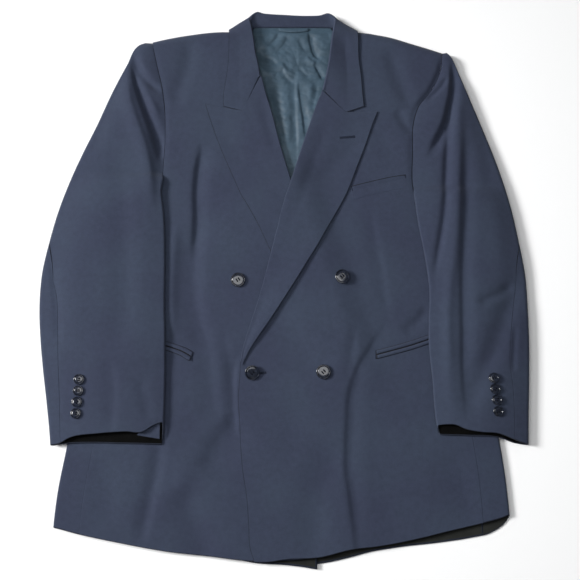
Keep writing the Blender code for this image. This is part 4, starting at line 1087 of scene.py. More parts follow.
def elbow_offset(side, y):
    """Where the elbow seam lies, along the section from the outermost point."""
    quarter_arc = SLEEVE_OUT_RADIUS * (math.pi / 2 - 1)
    return mix(ELBOW_SEAM[side](y) + quarter_arc, ELBOW_UNDER, fade(y, *ELBOW_TURN))


IN_TURN_STATIONS, MIDDLE_STATIONS, ELBOW_STATIONS = 9, 48, 17
# mm from the inner fold, and mm from the elbow seam that its finer stations reach
FLAT_STATIONS = [0.0, 2.5, 5.0, 7.5, 10.0]
ELBOW_REACH = 28
# at the cap the same stations lie this far apart, the first of them together
CAP_STEP, CAP_SPARE = 1.7, 1.2


def top_stations(side, y):
    """Places across the upper sleeve at height y: w, and 0 below to 1 above."""
    squeeze = squeeze_at(side, y)
    shrink = outer_radius(side, y) / SLEEVE_OUT_RADIUS
    seam = elbow_offset(side, y) * shrink
    turned_under = fade(y - UNDERARM[side], *TURNED_UNDER)
    start = ARMHOLE[side](y)
    first = []
    turn = edged(np.linspace(-IN_SEAM * IN_ARC, 0, IN_TURN_STATIONS))[:-2]
    for step, p in enumerate([*turn, *FLAT_STATIONS]):
        on_cap = max(step * CAP_STEP - CAP_SPARE, 0)
        w, up = inner_place(side, y, mix(on_cap, p, turned_under))
        first.append((np.where(squeeze < 1, start + (w - start) * squeeze, w), up))
    near_elbow = edged(np.linspace(ELBOW_REACH, 0, ELBOW_STATIONS))[2:]
    last = [outer_station(side, y, seam + step * shrink) for step in near_elbow]
    shares = [i / MIDDLE_STATIONS for i in range(1, MIDDLE_STATIONS)]
    return first + [(mix(first[-1][0], last[0][0], share), 1.0) for share in shares] + last


# steps of the undersleeve round its outer fold, out on the table, down from the body and on it
UNDER_TURN, UNDER_OUT, UNDER_SLOPE, UNDER_FLAT = 21, 4, 8, 14
# the seam's bow where it turns under, and the least that the turn takes, past the fold and the seam
ELBOW_BOW = 5.0
PAST_FOLD, PAST_ELBOW = 3, 6
# where it slopes down beside the side fold, and the least length of each stretch
SLOPE_OUT, SLOPE_IN, LEAST_STRETCH = 26, -5, 3
END_GAP = 3
NARROW_Y = (190, 130)
# how the last stations meet the inner fold or, under the arm, the back's armhole
UNDER_SHARES = [-1.0, -0.97, -0.94]
ARMHOLE_STEPS = [1.5, 0.75, 0.0]


def under_stations(side, y):
    """Places across the undersleeve at height y, from the elbow seam round to the inner fold."""
    radius = outer_radius(side, y)
    shrink = radius / SLEEVE_OUT_RADIUS
    turning = fade(y, *ELBOW_TURN)
    start = elbow_offset(side, y) * shrink - SEAM - ELBOW_BOW * turning * (1 - turning)
    finish = np.minimum(-radius * math.pi / 2 - PAST_FOLD * shrink, start - PAST_ELBOW * shrink)
    first = [outer_station(side, y, mix(start, finish, t)) for t in edged(even(UNDER_TURN))[:-2]]
    armhole, opened = BACK_ARMHOLE[side](y) + BACK_GAP, openness(side, y)
    end = mix(inner_fold_at(side, y) + SLEEVE_IN_RADIUS + END_GAP, armhole + END_GAP, opened)
    begin = outer_station(side, y, finish)[0]
    slope_out = np.minimum(begin - LEAST_STRETCH, SIDE_FOLD[side](y) + SLOPE_OUT)
    slope_in = np.minimum(slope_out - LEAST_STRETCH, SIDE_FOLD[side](y) + SLOPE_IN)
    bottom = [mix(begin, slope_out, i / UNDER_OUT) for i in range(UNDER_OUT)]
    bottom += [mix(slope_out, slope_in, i / UNDER_SLOPE) for i in range(UNDER_SLOPE)]
    bottom += [mix(slope_in, end, i / UNDER_FLAT) for i in range(UNDER_FLAT + 1)]
    narrow, last_number = fade(y, *NARROW_Y), len(bottom) - 1
    bottom = [mix(mix(begin, end, i / last_number), w, narrow) for i, w in enumerate(bottom)]
    last = []
    for share, past in zip(UNDER_SHARES, ARMHOLE_STEPS):
        w, up = inner_place(side, y, IN_ARC * share)
        last.append((mix(w, armhole + past, opened), mix(up, 0.0, opened)))
    return first + [(w, 0.0) for w in bottom] + last


def sleeve_place(side, stations, highest):
    def place(u, v):
        level = mix(highest, CUFF_LEVEL, v[:, 0])
        w, up, y = (np.zeros(u.shape) for _ in range(3))
        for column, (first_w, first_up) in enumerate(stations(side, level)):
            end = mix(CUFF_LOWER[side](first_w), CUFF_UPPER[side](first_w), first_up)
            y[:, column] = level + (end - CUFF_LEVEL) * fade(level, *CUFF_SHAPE_Y)
            w[:, column], up[:, column] = stations(side, y[:, column])[column]
        outer_w = OUTER_FOLD[side](y) - outer_radius(side, y)
        inner_w = inner_fold_at(side, y) + SLEEVE_IN_RADIUS
        over = np.minimum(w, outer_w)
        turning = (up > 0) & (up < 1)
        over = np.where(turning, np.maximum(over, np.minimum(inner_w, outer_w)), over)
        low = sleeve_bottom(side, np.where(up > 0, over, w), y)
        return SIGN[side] * w, y, mix(low, sleeve_top(side, over, y), up)
    return place


# x, y: the corners of the facing that shows in the wearer's right cuff
FACING_TOP = ((-204, -190.5), (-184, -188.5))
FACING_LOW = ((-217, -208.5), (-184, -214))
FACING_WALL, FACING_RISE, FACING_SLOPE = 1.0, 1.3, 1.1
FACING_STEPS = 15


def facing_place(u, v):
    x, y = (mix(mix(*top, u), mix(*low, u), v) for top, low in zip(zip(*FACING_TOP), zip(*FACING_LOW)))
    return x, y, sleeve_bottom("right", -x, y) + WALL + FACING_RISE + FACING_SLOPE * (1 - v)


UNDER_TOP = {"right": 355.0, "left": 338.0}
TOP_SLEEVE_ROWS, UNDER_SLEEVE_ROWS = 220, 130
steps = edged(even(FACING_STEPS))
facing = cloth_piece("cuff_facing_right", steps, steps, facing_place, twill, wall=FACING_WALL,
                     turned=True)
for side in SIGN:
    top, across = SLEEVE_TOP[side] - TOP_GAP, len(top_stations(side, np.zeros(1)))
    top_sleeve = cloth_piece(f"top_sleeve_{side}", even(across),
                             shoulder_rows(top - CUFF_LEVEL, TOP_SLEEVE_ROWS),
                             sleeve_place(side, top_stations, top), twill, turned=side == "left",
                             inside=black_lining_and_shade, shaded_edges=[(-1, EVERY), (EVERY, 0)])
    laid(top_sleeve, [f"topsleeve_{side}"])
    across = len(under_stations(side, np.zeros(1)))
    under_sleeve = cloth_piece(f"under_sleeve_{side}", even(across), edged(even(UNDER_SLEEVE_ROWS)),
                               sleeve_place(side, under_stations, UNDER_TOP[side]), twill,
                               turned=side == "left", inside=black_lining_and_shade, shaded_edges=[(-1, EVERY)])
    laid(under_sleeve, [f"undersleeve_{side}"])

# ---------------------------------------------------------------- Pockets
# A welt over the chest pocket on the wearer's left, and two narrow jets round each hip pocket's
# opening. They are strips of the same twill, sewn down along their outer edges and at their ends.

# x, y
CHEST_POCKET = [(90, 154.5), (103, 158), (125, 163.5), (147, 168.5), (171, 172.5)]
WELT_HEIGHT = 19.0
WELT_COLUMNS, WELT_ROWS = 81, 17
# the welt's rise along its sewn edge and at its free one, and how fast it drops and its ends come in
WELT_LOW, WELT_HIGH, WELT_DROP, WELT_ENDS = 0.12, 0.9, 2.6, 20
JET_WIDTH = 5.0
JET_ARCH, JET_ENDS = 1.0, 60
JET_COLUMNS, JET_ROWS = 81, 11
MOUTH = 1.3
MOUTH_ROWS = 9
# how far the painted shade strip under each hip pocket reaches past its jets, showing as a dark seam line
DITCH = 0.5
CHEST_MOUTH, CHEST_MOUTH_DROP = 2.4, -0.8
CHEST_MOUTH_COLUMNS, CHEST_MOUTH_ROWS = 61, 5
MOUTH_SHADE_RISE = 0.34
MOUTH_SHADE_WALL = 0.14
TRIM_RISE = 0.8
TRIM_WALL = 0.35
ROUNDING = 0.6
SLOPE_STEP = 2


def strip_place(points, drop, width, ground, rise, spare=0.0):
    """A strip along a pocket's opening, from drop below it, raised above the cloth by rise(u, v)."""
    opening, first, last = curve(points), points[0][0] - spare, points[-1][0] + spare

    def place(u, v):
        x = mix(first, last, u)
        slope = (opening(x + SLOPE_STEP) - opening(x - SLOPE_STEP)) / (2 * SLOPE_STEP)
        fall = drop + width * v
        y = opening(x) - fall
        x = x + slope * fall
        return x, y, ground(x, y) + rise(u, v)
    return place


def mouth_shade_rise(u, v):
    return MOUTH_SHADE_RISE + 0 * v


def arched(v):
    """A rounded arch from edge to edge of a strip."""
    return np.sin(math.pi * v) ** ROUNDING


def jet_rise(u, v):
    ends = ease(np.minimum(u, 1 - u) * JET_ENDS)
    return TRIM_RISE + JET_ARCH * arched(v) * ends


def welt_rise(u, v):
    ends = ease(np.minimum(u, 1 - u) * WELT_ENDS)
    return mix(WELT_LOW, mix(WELT_LOW, WELT_HIGH, ends), 1 - ease(v * WELT_DROP))


round_rows = (1 - np.cos(np.linspace(0, math.pi, JET_ROWS))) / 2
# painted shade: near-black strips under the pocket openings, and past the jets' outer edges, stand for the
# shadow in the mouths and seams
mouth_shade = wool("pocket_mouth_painted_shade", (0.004, 0.004, 0.006), (0.006, 0.006, 0.009))
mouth = cloth_piece("chest_pocket_mouth", even(CHEST_MOUTH_COLUMNS), even(CHEST_MOUTH_ROWS),
                    strip_place(CHEST_POCKET, CHEST_MOUTH_DROP, CHEST_MOUTH, outer_front, mouth_shade_rise),
                    mouth_shade, wall=MOUTH_SHADE_WALL, turned=True)
welt = cloth_piece("chest_pocket_welt", edged(even(WELT_COLUMNS)), edged(even(WELT_ROWS)),
                   strip_place(CHEST_POCKET, 0.0, WELT_HEIGHT, outer_front, welt_rise),
                   twill, wall=TRIM_WALL, turned=True, shaded_edges=[(0, EVERY)])
laid(welt, ["chest_welt"])
for side in SIGN:
    line, ground = HIP_POCKET[side], FRONT_HEIGHT[side]
    upper_drop = -MOUTH / 2 - JET_WIDTH
    mouth = cloth_piece(f"hip_pocket_mouth_{side}", even(JET_COLUMNS), even(MOUTH_ROWS),
                        strip_place(line, upper_drop - DITCH, MOUTH + 2 * (JET_WIDTH + DITCH), ground,
                                    mouth_shade_rise, DITCH),
                        mouth_shade, wall=MOUTH_SHADE_WALL, turned=side == "left")
    for which, drop in (("upper", upper_drop), ("lower", MOUTH / 2)):
        jet = cloth_piece(f"hip_pocket_jet_{which}_{side}", even(JET_COLUMNS), round_rows,
                          strip_place(line, drop, JET_WIDTH, ground, jet_rise), twill,
                          wall=TRIM_WALL, turned=side == "left")
        laid(jet, [f"hip_jet_{which}_{side}"])

# ---------------------------------------------------------------- Buttons
# Dark polished buttons with a rolled rim, a dished middle and four holes, sewn on with navy thread:
# four on the front and four in a touching row at each cuff.

# radius and height up the outside of the button and across its face
FRONT_PROFILE = [(0.0, 0.0), (8.8, 0.0), (9.9, 0.5), (10.5, 1.3), (10.6, 2.0), (10.35, 2.65), (9.8, 3.05),
                 (9.3, 3.05), (8.9, 2.7), (8.65, 2.1), (8.35, 1.8), (8.05, 1.9), (7.8, 2.2), (7.2, 2.35),
                 (4.5, 2.4), (0.0, 2.3)]
CUFF_PROFILE = [(0.0, 0.0), (6.2, 0.0), (7.1, 0.4), (7.5, 1.0), (7.6, 1.6), (7.35, 2.2), (6.9, 2.5),
                (6.45, 2.5), (6.1, 2.15), (5.85, 1.65), (5.6, 1.5), (5.3, 1.7), (4.9, 1.9), (3.0, 2.0),
                (0.0, 1.9)]
# outline, how far its holes stand from the middle, height of its face there, and its bearing radius
BUTTONS = {
    "front": (FRONT_PROFILE, 1.75, 2.35, 10.2),
    "cuff": (CUFF_PROFILE, 1.45, 1.9, 7.4),
}
# name, x, y, turn in degrees, and how far its face leans toward x and y in degrees
FRONT_BUTTONS = [("button_1", -75.5, 15, 30, (0, 0)), ("button_2", 75.8, 19, 35, (-7, -1)),
                 ("button_3", -54, -120, 45, (5, -9)), ("button_4", 48, -119, 42, (0, 0))]
# w, y, turn and lean
CUFF_BUTTONS = {
    "right": [(300, -130, 90, (3, 2)), (300.5, -146, 4, (3, 1)), (302, -162, 60, (1, 4)),
              (303, -178, 76, (2, 3))],
    "left": [(290, -128, 20, (-3, 3)), (291, -143.5, 62, (2, 2)), (293, -159, 85, (-2, 4)),
             (294, -175, 12, (3, -2))],
}
HOLE = 0.95
HOLE_CORNERS = [(-1, -1), (-1, 1), (1, -1), (1, 1)]
HOLE_SIDES = 16
TURNING_STEPS = 48
DRILL_LENGTH = 20
SHARP_EDGE = math.radians(40)
THREAD = 0.42
# the thread's strands: their spacing in threads, their rise, their drop into the holes, its
# sharpness, how much lower the outer ones lie, and how far they reach past the holes
STRAND_SPACING, STRAND_RISE, STRAND_DROP = 1.2, 0.5, 1.9
STRAND_BEND, STRAND_LOWER, STRAND_REACH = 5, 0.12, 0.35
STRAND_POINTS = 9
BUTTON_GAP = 0.1
BEARING_POINTS, BEARING = 12, 0.9
HORN = {"Specular IOR Level": 0.5, "Coat Weight": 0.3, "Coat Roughness": 0.08}
HORN_CLOUD = {"Scale": 240.0, "Detail": 3.0}
HORN_TONE = (0.35, 0.75, (0.004, 0.006, 0.012), (0.013, 0.018, 0.034))
HORN_GLOSS = {"To Min": 0.10, "To Max": 0.21}
SEWING_THREAD = {"Roughness": 0.9, "Specular IOR Level": 0.1}
THREAD_TWIST = {"Scale": 900.0}
THREAD_BUMP = (0.0001, 0.5)


def horn():
    """Polished dark button plastic with a faint cloudy figure."""
    material, tree, shader = new_material("polished_button", HORN)
    cloud = pattern(tree, "Noise", tree.nodes.new("ShaderNodeTexCoord").outputs["Object"], HORN_CLOUD)
    tree.links.new(tone(tree, cloud, *HORN_TONE), shader.inputs["Base Color"])
    gloss = with_settings(tree.nodes.new("ShaderNodeMapRange"), HORN_GLOSS)
    tree.links.new(cloud, gloss.inputs["Value"])
    tree.links.new(gloss.outputs["Result"], shader.inputs["Roughness"])
    return material


def sewing_thread(name, dark, light):
    """Twisted thread."""
    material, tree, shader = new_material(name, SEWING_THREAD)
    place = tree.nodes.new("ShaderNodeTexCoord").outputs["Object"]
    twist = pattern(tree, "Wave", place, THREAD_TWIST)
    tree.links.new(tone(tree, twist, 0.0, 1.0, dark, light), shader.inputs["Base Color"])
    tree.links.new(raised(tree, twist, *THREAD_BUMP), shader.inputs["Normal"])
    return material


def as_mesh(thing, name):
    """The plain mesh of a thing with modifiers or of a curve, and the thing removed."""
    bpy.context.view_layer.update()
    evaluated = thing.evaluated_get(bpy.context.evaluated_depsgraph_get())
    mesh = bpy.data.meshes.new_from_object(evaluated)
    mesh.name = name
    bpy.data.objects.remove(thing, do_unlink=True)
    return mesh


def turned_button(name, profile, spread):
    """A turned button with its four holes cut, its underside at z = 0."""
    form = bmesh.new()
    ring = [form.verts.new((r * MM, 0, z * MM)) for r, z in profile]
    edges = [form.edges.new(pair) for pair in zip(ring, ring[1:])]
    bmesh.ops.spin(form, geom=ring + edges, axis=(0, 0, 1), cent=(0, 0, 0), steps=TURNING_STEPS,
                   angle=2 * math.pi)
    bmesh.ops.remove_doubles(form, verts=form.verts, dist=0.01 * MM)
    bmesh.ops.recalc_face_normals(form, faces=form.faces)
    disc = put_in_scene(name, bpy.data.meshes.new(name))
    form.to_mesh(disc.data)
    form.clear()
    for across, up in HOLE_CORNERS:
        where = Matrix.Translation((across * spread * MM, up * spread * MM, 0))
        bmesh.ops.create_cone(form, cap_ends=True, segments=HOLE_SIDES, radius1=HOLE * MM,
                              radius2=HOLE * MM, depth=DRILL_LENGTH * MM, matrix=where)
    drill = put_in_scene(f"{name}_drill", bpy.data.meshes.new(f"{name}_drill"))
    form.to_mesh(drill.data)
    form.free()
    cut = disc.modifiers.new("holes", "BOOLEAN")
    cut.operation, cut.solver, cut.object = "DIFFERENCE", "EXACT", drill
    mesh = as_mesh(disc, name)
    bpy.data.objects.remove(drill, do_unlink=True)
    mesh.shade_smooth()
    mesh.set_sharp_from_angle(angle=SHARP_EDGE)
    return mesh


def button_thread(name, spread, face):
    """Two bars of three strands, each over the bridge between two holes and down into them."""
    curve_data = bpy.data.curves.new(name, "CURVE")
    curve_data.dimensions = "3D"
    curve_data.bevel_depth, curve_data.bevel_resolution = THREAD * MM, 2
    curve_data.use_fill_caps = True
    for across in (-1, 1):
        for strand in (-1, 0, 1):
            line = curve_data.splines.new("POLY")
            line.points.add(STRAND_POINTS - 1)
            aside = across * spread + strand * THREAD * STRAND_SPACING
            for point, t in zip(line.points, np.linspace(-1, 1, STRAND_POINTS)):
                rise = face + STRAND_RISE - STRAND_DROP * abs(t) ** STRAND_BEND - STRAND_LOWER * abs(strand)
                point.co = (aside * MM, t * (spread + STRAND_REACH) * MM, rise * MM, 1)
    mesh = as_mesh(put_in_scene(name, curve_data), name)
    mesh.shade_smooth()
    return mesh


def lying_on(ground, x, y, radius, lean):
    """The place and tilt of a button on the cloth at (x, y), leaning a little on its thread."""
    around = np.linspace(0, 2 * math.pi, BEARING_POINTS, endpoint=False)
    rise_x = (ground(x + radius, y) - ground(x - radius, y)) / (2 * radius)
    rise_y = (ground(x, y + radius) - ground(x, y - radius)) / (2 * radius)
    dx, dy = radius * BEARING * np.cos(around), radius * BEARING * np.sin(around)
    bumps = ground(x + dx, y + dy) - (ground(x, y) + rise_x * dx + rise_y * dy)
    level = ground(x, y) + max(0.0, float(bumps.max())) + SEAM + BUTTON_GAP
    lean_x, lean_y = (math.tan(math.radians(angle)) for angle in lean)
    level += radius * math.hypot(lean_x, lean_y)
    face = Vector((lean_x - rise_x, lean_y - rise_y, 1))
    tilt = Vector((0, 0, 1)).rotation_difference(face).to_matrix().to_4x4()
    return Matrix.Translation(((x + SHIFT[0]) * MM, (y + SHIFT[1]) * MM, float(level) * MM)) @ tilt


def sewn_button(node, x, y, turn, lean, ground, kind):
    """A button and its thread at one place, turned as it was sewn."""
    button, thread, radius = button_forms[kind]
    where = lying_on(ground, np.float64(x), np.float64(y), radius, lean)
    where = where @ Matrix.Rotation(math.radians(turn), 4, "Z")
    for form, name, material, slot in ((button, node, polished, "horn"),
                                       (thread, f"{node}_thread", button_twist, "wool")):
        mesh = form.copy()
        mesh.transform(where)
        mesh.materials.clear()
        mesh.materials.append(material)
        piece = put_in_scene(f"sewn_{name}", mesh)
        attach(piece, "root")
        if slot == "horn":
            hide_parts(node)


polished = horn()
button_twist = sewing_thread("button_twist", (0.003, 0.004, 0.008), (0.010, 0.012, 0.022))
button_forms = {}
for kind, (profile, spread, face, radius) in BUTTONS.items():
    button_forms[kind] = (turned_button(f"{kind}_button", profile, spread),
                          button_thread(f"{kind}_thread", spread, face), radius)
for node, x, y, turn, lean in FRONT_BUTTONS:
    sewn_button(node, x, y, turn, lean, inner_front if node == "button_1" else outer_front, "front")
for side in SIGN:
    for number, (w, y, turn, lean) in enumerate(CUFF_BUTTONS[side], 1):
        sewn_button(f"cuff_button_{side}_{number}", SIGN[side] * w, y, turn, lean,
                    lambda x, y, side=side: sleeve_top(side, SIGN[side] * x, y), "cuff")

# ---------------------------------------------------------------- Buttonholes and tacks
# A buttonhole in the left lapel and one in the left front's edge, worked in navy thread round a
# slit, and bars of close stitches that hold the ends of the pockets.

# where it is worked, the tail and the eye of its slit as x, y
BUTTONHOLES = {
    "peak_lapel_left": ((74.0, 229.0), (95.0, 231.0)),
    "front_panel_left": ((-34.0, -120.0), (-60.0, -122.0)),
}
HOLE_LIP = 1.0
HOLE_SIDE_STEPS, EYE_STEPS = 24, 17
HOLE_SIDE, EYE_ANGLE = 0.92, 2.4
EYE = 1.5
SLIT = 0.9
SLIT_RISE, SLIT_WALL = 0.12, 0.1
SLIT_COLUMNS, SLIT_ROWS = 25, 5
STITCH_RISE = 0.1
WELT_SLANT = 0.22
HIP_TACK_OUT, HIP_TACK_STEPS = 0.9, 16
# end of the welt, and how far in from it the tack lies; then the part of its height that it takes
CHEST_TACKS = {"inner": (CHEST_POCKET[0], 0.7), "outer": (CHEST_POCKET[-1], -0.7)}
CHEST_TACK_FALL, CHEST_TACK_STEPS = (0.5, 6.0), 9
STITCH_SIZES = {"Spacing": 0.42, "Across": 1.7, "Thickness": 0.5, "Unevenness": 0.16, "Seed": 7}


def stitching():
    """Geometry nodes that set stitches side by side along the edges of a mesh, square to them."""
    tree = bpy.data.node_groups.new("stitching", "GeometryNodeTree")
    sockets = tree.interface
    sockets.new_socket(name="Path", in_out="INPUT", socket_type="NodeSocketGeometry")
    for size in STITCH_SIZES:
        kind = "NodeSocketInt" if size == "Seed" else "NodeSocketFloat"
        sockets.new_socket(name=size, in_out="INPUT", socket_type=kind)
    sockets.new_socket(name="Thread", in_out="INPUT", socket_type="NodeSocketMaterial")
    sockets.new_socket(name="Stitches", in_out="OUTPUT", socket_type="NodeSocketGeometry")
    nodes, links = tree.nodes, tree.links
    given, made = nodes.new("NodeGroupInput"), nodes.new("NodeGroupOutput")
    path, points = nodes.new("GeometryNodeMeshToCurve"), nodes.new("GeometryNodeCurveToPoints")
    points.mode = "LENGTH"
    form, size = nodes.new("GeometryNodeMeshUVSphere"), nodes.new("ShaderNodeCombineXYZ")
    form.inputs["Segments"].default_value, form.inputs["Rings"].default_value = 8, 6
    form.inputs["Radius"].default_value = 0.5
    least, most = nodes.new("ShaderNodeMath"), nodes.new("ShaderNodeMath")
    least.operation, most.operation = "SUBTRACT", "ADD"
    least.inputs[0].default_value = most.inputs[0].default_value = 1.0
    share, uneven = nodes.new("FunctionNodeRandomValue"), nodes.new("ShaderNodeVectorMath")
    uneven.operation = "SCALE"
    placed, whole = nodes.new("GeometryNodeInstanceOnPoints"), nodes.new("GeometryNodeRealizeInstances")
    smooth, coloured = nodes.new("GeometryNodeSetShadeSmooth"), nodes.new("GeometryNodeSetMaterial")
    for source, target in (
            (given.outputs["Path"], path.inputs["Mesh"]),
            (path.outputs["Curve"], points.inputs["Curve"]),
            (given.outputs["Spacing"], points.inputs["Length"]),
            (given.outputs["Across"], size.inputs["X"]),
            (given.outputs["Thickness"], size.inputs["Y"]),
            (given.outputs["Spacing"], size.inputs["Z"]),
            (given.outputs["Unevenness"], least.inputs[1]),
            (given.outputs["Unevenness"], most.inputs[1]),
            (least.outputs[0], share.inputs[2]),
            (most.outputs[0], share.inputs[3]),
            (given.outputs["Seed"], share.inputs["Seed"]),
            (size.outputs["Vector"], uneven.inputs["Vector"]),
            (share.outputs[1], uneven.inputs["Scale"]),
            (points.outputs["Points"], placed.inputs["Points"]),
            (form.outputs["Mesh"], placed.inputs["Instance"]),
            (points.outputs["Rotation"], placed.inputs["Rotation"]),
            (uneven.outputs["Vector"], placed.inputs["Scale"]),
            (placed.outputs["Instances"], smooth.inputs["Geometry"]),
            (smooth.outputs["Geometry"], whole.inputs["Geometry"]),
            (whole.outputs["Geometry"], coloured.inputs["Geometry"]),
            (given.outputs["Thread"], coloured.inputs["Material"]),
            (coloured.outputs["Geometry"], made.inputs["Stitches"])):
        links.new(source, target)
    return tree


def surface_of(name):
    """Reads the height in mm of a piece's upper face at places in mm."""
    piece = bpy.data.objects[name]

    def height(x, y):
        above = Vector(((x + SHIFT[0]) * MM, (y + SHIFT[1]) * MM, 1.0))
        return piece.ray_cast(above, Vector((0, 0, -1)))[1].z / MM
    return np.vectorize(height, otypes=[float])


def stitches(name, path, ground):
    """Close stitches along a path of x, y on the cloth, as one piece of navy thread."""
    x, y = (np.array(column, float) for column in zip(*path))
    place = np.stack([x + SHIFT[0], y + SHIFT[1], ground(x, y) + STITCH_RISE], 1) * MM
    guide = bpy.data.meshes.new(name)
    guide.from_pydata(place.tolist(), [(i, i + 1) for i in range(len(place) - 1)], [])
    thing = put_in_scene(name, guide)
    modifier = thing.modifiers.new("stitching", "NODES")
    modifier.node_group = stitch_tree
    for socket in stitch_tree.interface.items_tree:
        if socket.name in STITCH_SIZES:
            scale = 1 if socket.name in ("Seed", "Unevenness") else MM
            modifier[socket.identifier] = STITCH_SIZES[socket.name] * scale
        elif socket.name == "Thread":
            modifier[socket.identifier] = navy_twist
    piece = put_in_scene(name, as_mesh(thing, name))
    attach(piece, "root")


def hole_path(tail, eye):
    """Up one side of a buttonhole, round its eye and back down the other."""
    tail, eye = Vector(tail), Vector(eye)
    ahead = (eye - tail).normalized()
    aside = Vector((-ahead.y, ahead.x))
    path = [tail.lerp(eye, t) + aside * HOLE_LIP for t in np.linspace(0, HOLE_SIDE, HOLE_SIDE_STEPS)]
    for angle in np.linspace(EYE_ANGLE, -EYE_ANGLE, EYE_STEPS):
        path.append(eye + ahead * math.cos(angle) * EYE + aside * math.sin(angle) * EYE)
    back = np.linspace(HOLE_SIDE, 0, HOLE_SIDE_STEPS)
    return path + [tail.lerp(eye, t) - aside * HOLE_LIP for t in back]


bpy.context.view_layer.update()
navy_twist = sewing_thread("navy_twist", (0.016, 0.021, 0.036), (0.026, 0.033, 0.057))
stitch_tree = stitching()
for where, (tail, eye) in BUTTONHOLES.items():
    ground = surface_of(where)
    stitches(f"buttonhole_{where}", hole_path(tail, eye), ground)
    # the slit is a thin strip of the darker edge twill, painted shade standing for the shadow in the cut
    cloth_piece(f"buttonhole_slit_{where}", even(SLIT_COLUMNS), even(SLIT_ROWS),
                strip_place(sorted((tail, eye)), -SLIT / 2, SLIT, ground, lambda u, v: SLIT_RISE + 0 * v),
                edge_shade_twill, wall=SLIT_WALL, turned=True)
for side in SIGN:
    end_x, end_y = HIP_POCKET[side][0]
    reach = MOUTH / 2 + JET_WIDTH + DITCH
    rises = np.linspace(-reach, reach, HIP_TACK_STEPS)
    rows = [(end_x - SIGN[side] * HIP_TACK_OUT, end_y + rise) for rise in rises]
    stitches(f"hip_pocket_tack_{side}", rows, surface_of(f"front_panel_{side}"))
for end, ((x, y), inset) in CHEST_TACKS.items():
    falls = np.linspace(*CHEST_TACK_FALL, CHEST_TACK_STEPS)
    rows = [(x + inset + WELT_SLANT * fall, y - fall) for fall in falls]
    stitches(f"chest_pocket_tack_{end}", rows, surface_of("chest_pocket_welt"))

# ---------------------------------------------------------------- Lining
# The back lining that shows in the neck: thin blue-grey satin with a pleat down the centre back,
# laid on the wool back and crumpled by wear.

LINING_TOP, LINING_LOW = 411.5, 118.0
LINING_MIDDLE = 4.0
LINING_WALL = 0.7
PLEAT = 10.5
SATIN_DARK = (0.033, 0.059, 0.084)
SATIN_LIGHT = (0.050, 0.085, 0.120)
LINING_COLUMNS, LINING_ROWS = 121, 261
# half its width at the neck and below, and how fast it widens
LINING_HALF, LINING_WIDENS = (58, 70), 14
LINING_GAP = 0.2
# how loosely it lies on the back, how much more in the neck's low part, and the slope to one side
LOOSE = 1.9
LIFTED, LIFTED_Y = 5.5, (385, 235)
TILT, TILT_FROM, TILT_REACH, TILT_Y = 0.085, -22, 60, (345, 275)
# it is held down along its sides, out from its middle, under the collar and at its low end
HELD_SIDES, HELD_TOP, HELD_LOW = (70, 62), (407, 397), (118.0, 138.0)
# the pleat's height, and past its line in x where it rises and dies away, and down from the top
PLEAT_RISE = 0.35
PLEAT_EDGE, PLEAT_FADE, PLEAT_TOP = (0, 1.2), (2, 16), (411.5, 381.5)
LINING_CREASES = creases([
    ("fold from the loop", [(29, 404), (31, 390), (34, 374), (40, 362), (50, 358)], 2.6, 6, 2.4),
    ("fold to the left", [(37, 350), (44, 336), (50, 322)], 2.2, 5, 2.0),
    ("left swell", [(42, 402), (50, 382), (55, 362)], -1.6, 8, 9),
    ("glint", [(24, 362), (31, 355), (40, 350)], -1.6, 2.5, 5),
    ("right bulge", [(-50, 396), (-38, 380), (-22, 374)], -1.6, 4, 9),
    ("right trough", [(-52, 374), (-38, 361), (-26, 356), (-18, 344)], 1.6, 2.5, 6),
    ("right diagonal", [(-14, 404), (-22, 390), (-36, 376), (-50, 370)], 1.5, 6, 3),
    ("right bow", [(-52, 352), (-38, 338), (-20, 334)], -1.5, 3, 6),
    ("slant below the loop", [(-2, 398), (-10, 380), (-22, 366)], 1.4, 7, 3),
    ("middle bow", [(-16, 354), (-4, 338), (9, 332)], -1.5, 3, 6),
    ("middle trough", [(-14, 344), (-5, 328), (7, 318)], 1.5, 2.5, 5),
    ("long right trough", [(-21, 336), (-20, 300), (-16, 255), (-12, 215)], 1.6, 6, 9),
    ("long right swell", [(-5, 318), (-4, 290), (-3, 250), (-2, 200)], -1.2, 6, 9),
    ("beside the pleat", [(7, 344), (6, 300), (8, 250), (9, 205)], 1.7, 3, 7),
    ("left of the pleat", [(13, 330), (15, 300), (20, 266), (24, 226)], 2.4, 8, 2.2),
    ("left long swell", [(30, 328), (31, 296), (31, 262)], -1.3, 7, 7),
    ("left low trough", [(42, 322), (38, 298), (32, 270)], 1.7, 3, 6),
    ("low right", [(-32, 306), (-24, 276), (-13, 240)], -1.2, 4, 7),
    ("crumple", [(14, 346), (22, 334), (32, 330)], 1.3, 2.5, 5),
    ("crumple below the loop", [(12, 392), (18, 378), (26, 372)], 1.2, 5, 2.5),
])
# wavelength and depth in mm, and direction in degrees
CRUSHING = [(23.0, 0.55, 62), (17.0, 0.45, -28), (13.0, 0.35, 100), (9.5, 0.25, 20), (7.0, 0.16, -70)]
# of the small folds: how far they sway and over what share of their wavelength, how much their
# strength varies and over what, their sharpness, and the level that they stand about
SWAY, SWAY_LENGTH = 0.35, 0.31
STRENGTH, STRENGTH_CHANGE, STRENGTH_LENGTH, STRENGTH_DRIFT = 0.6, 0.4, 0.6, 41
SHARPNESS, FOLD_LEVEL = 0.8, 0.6


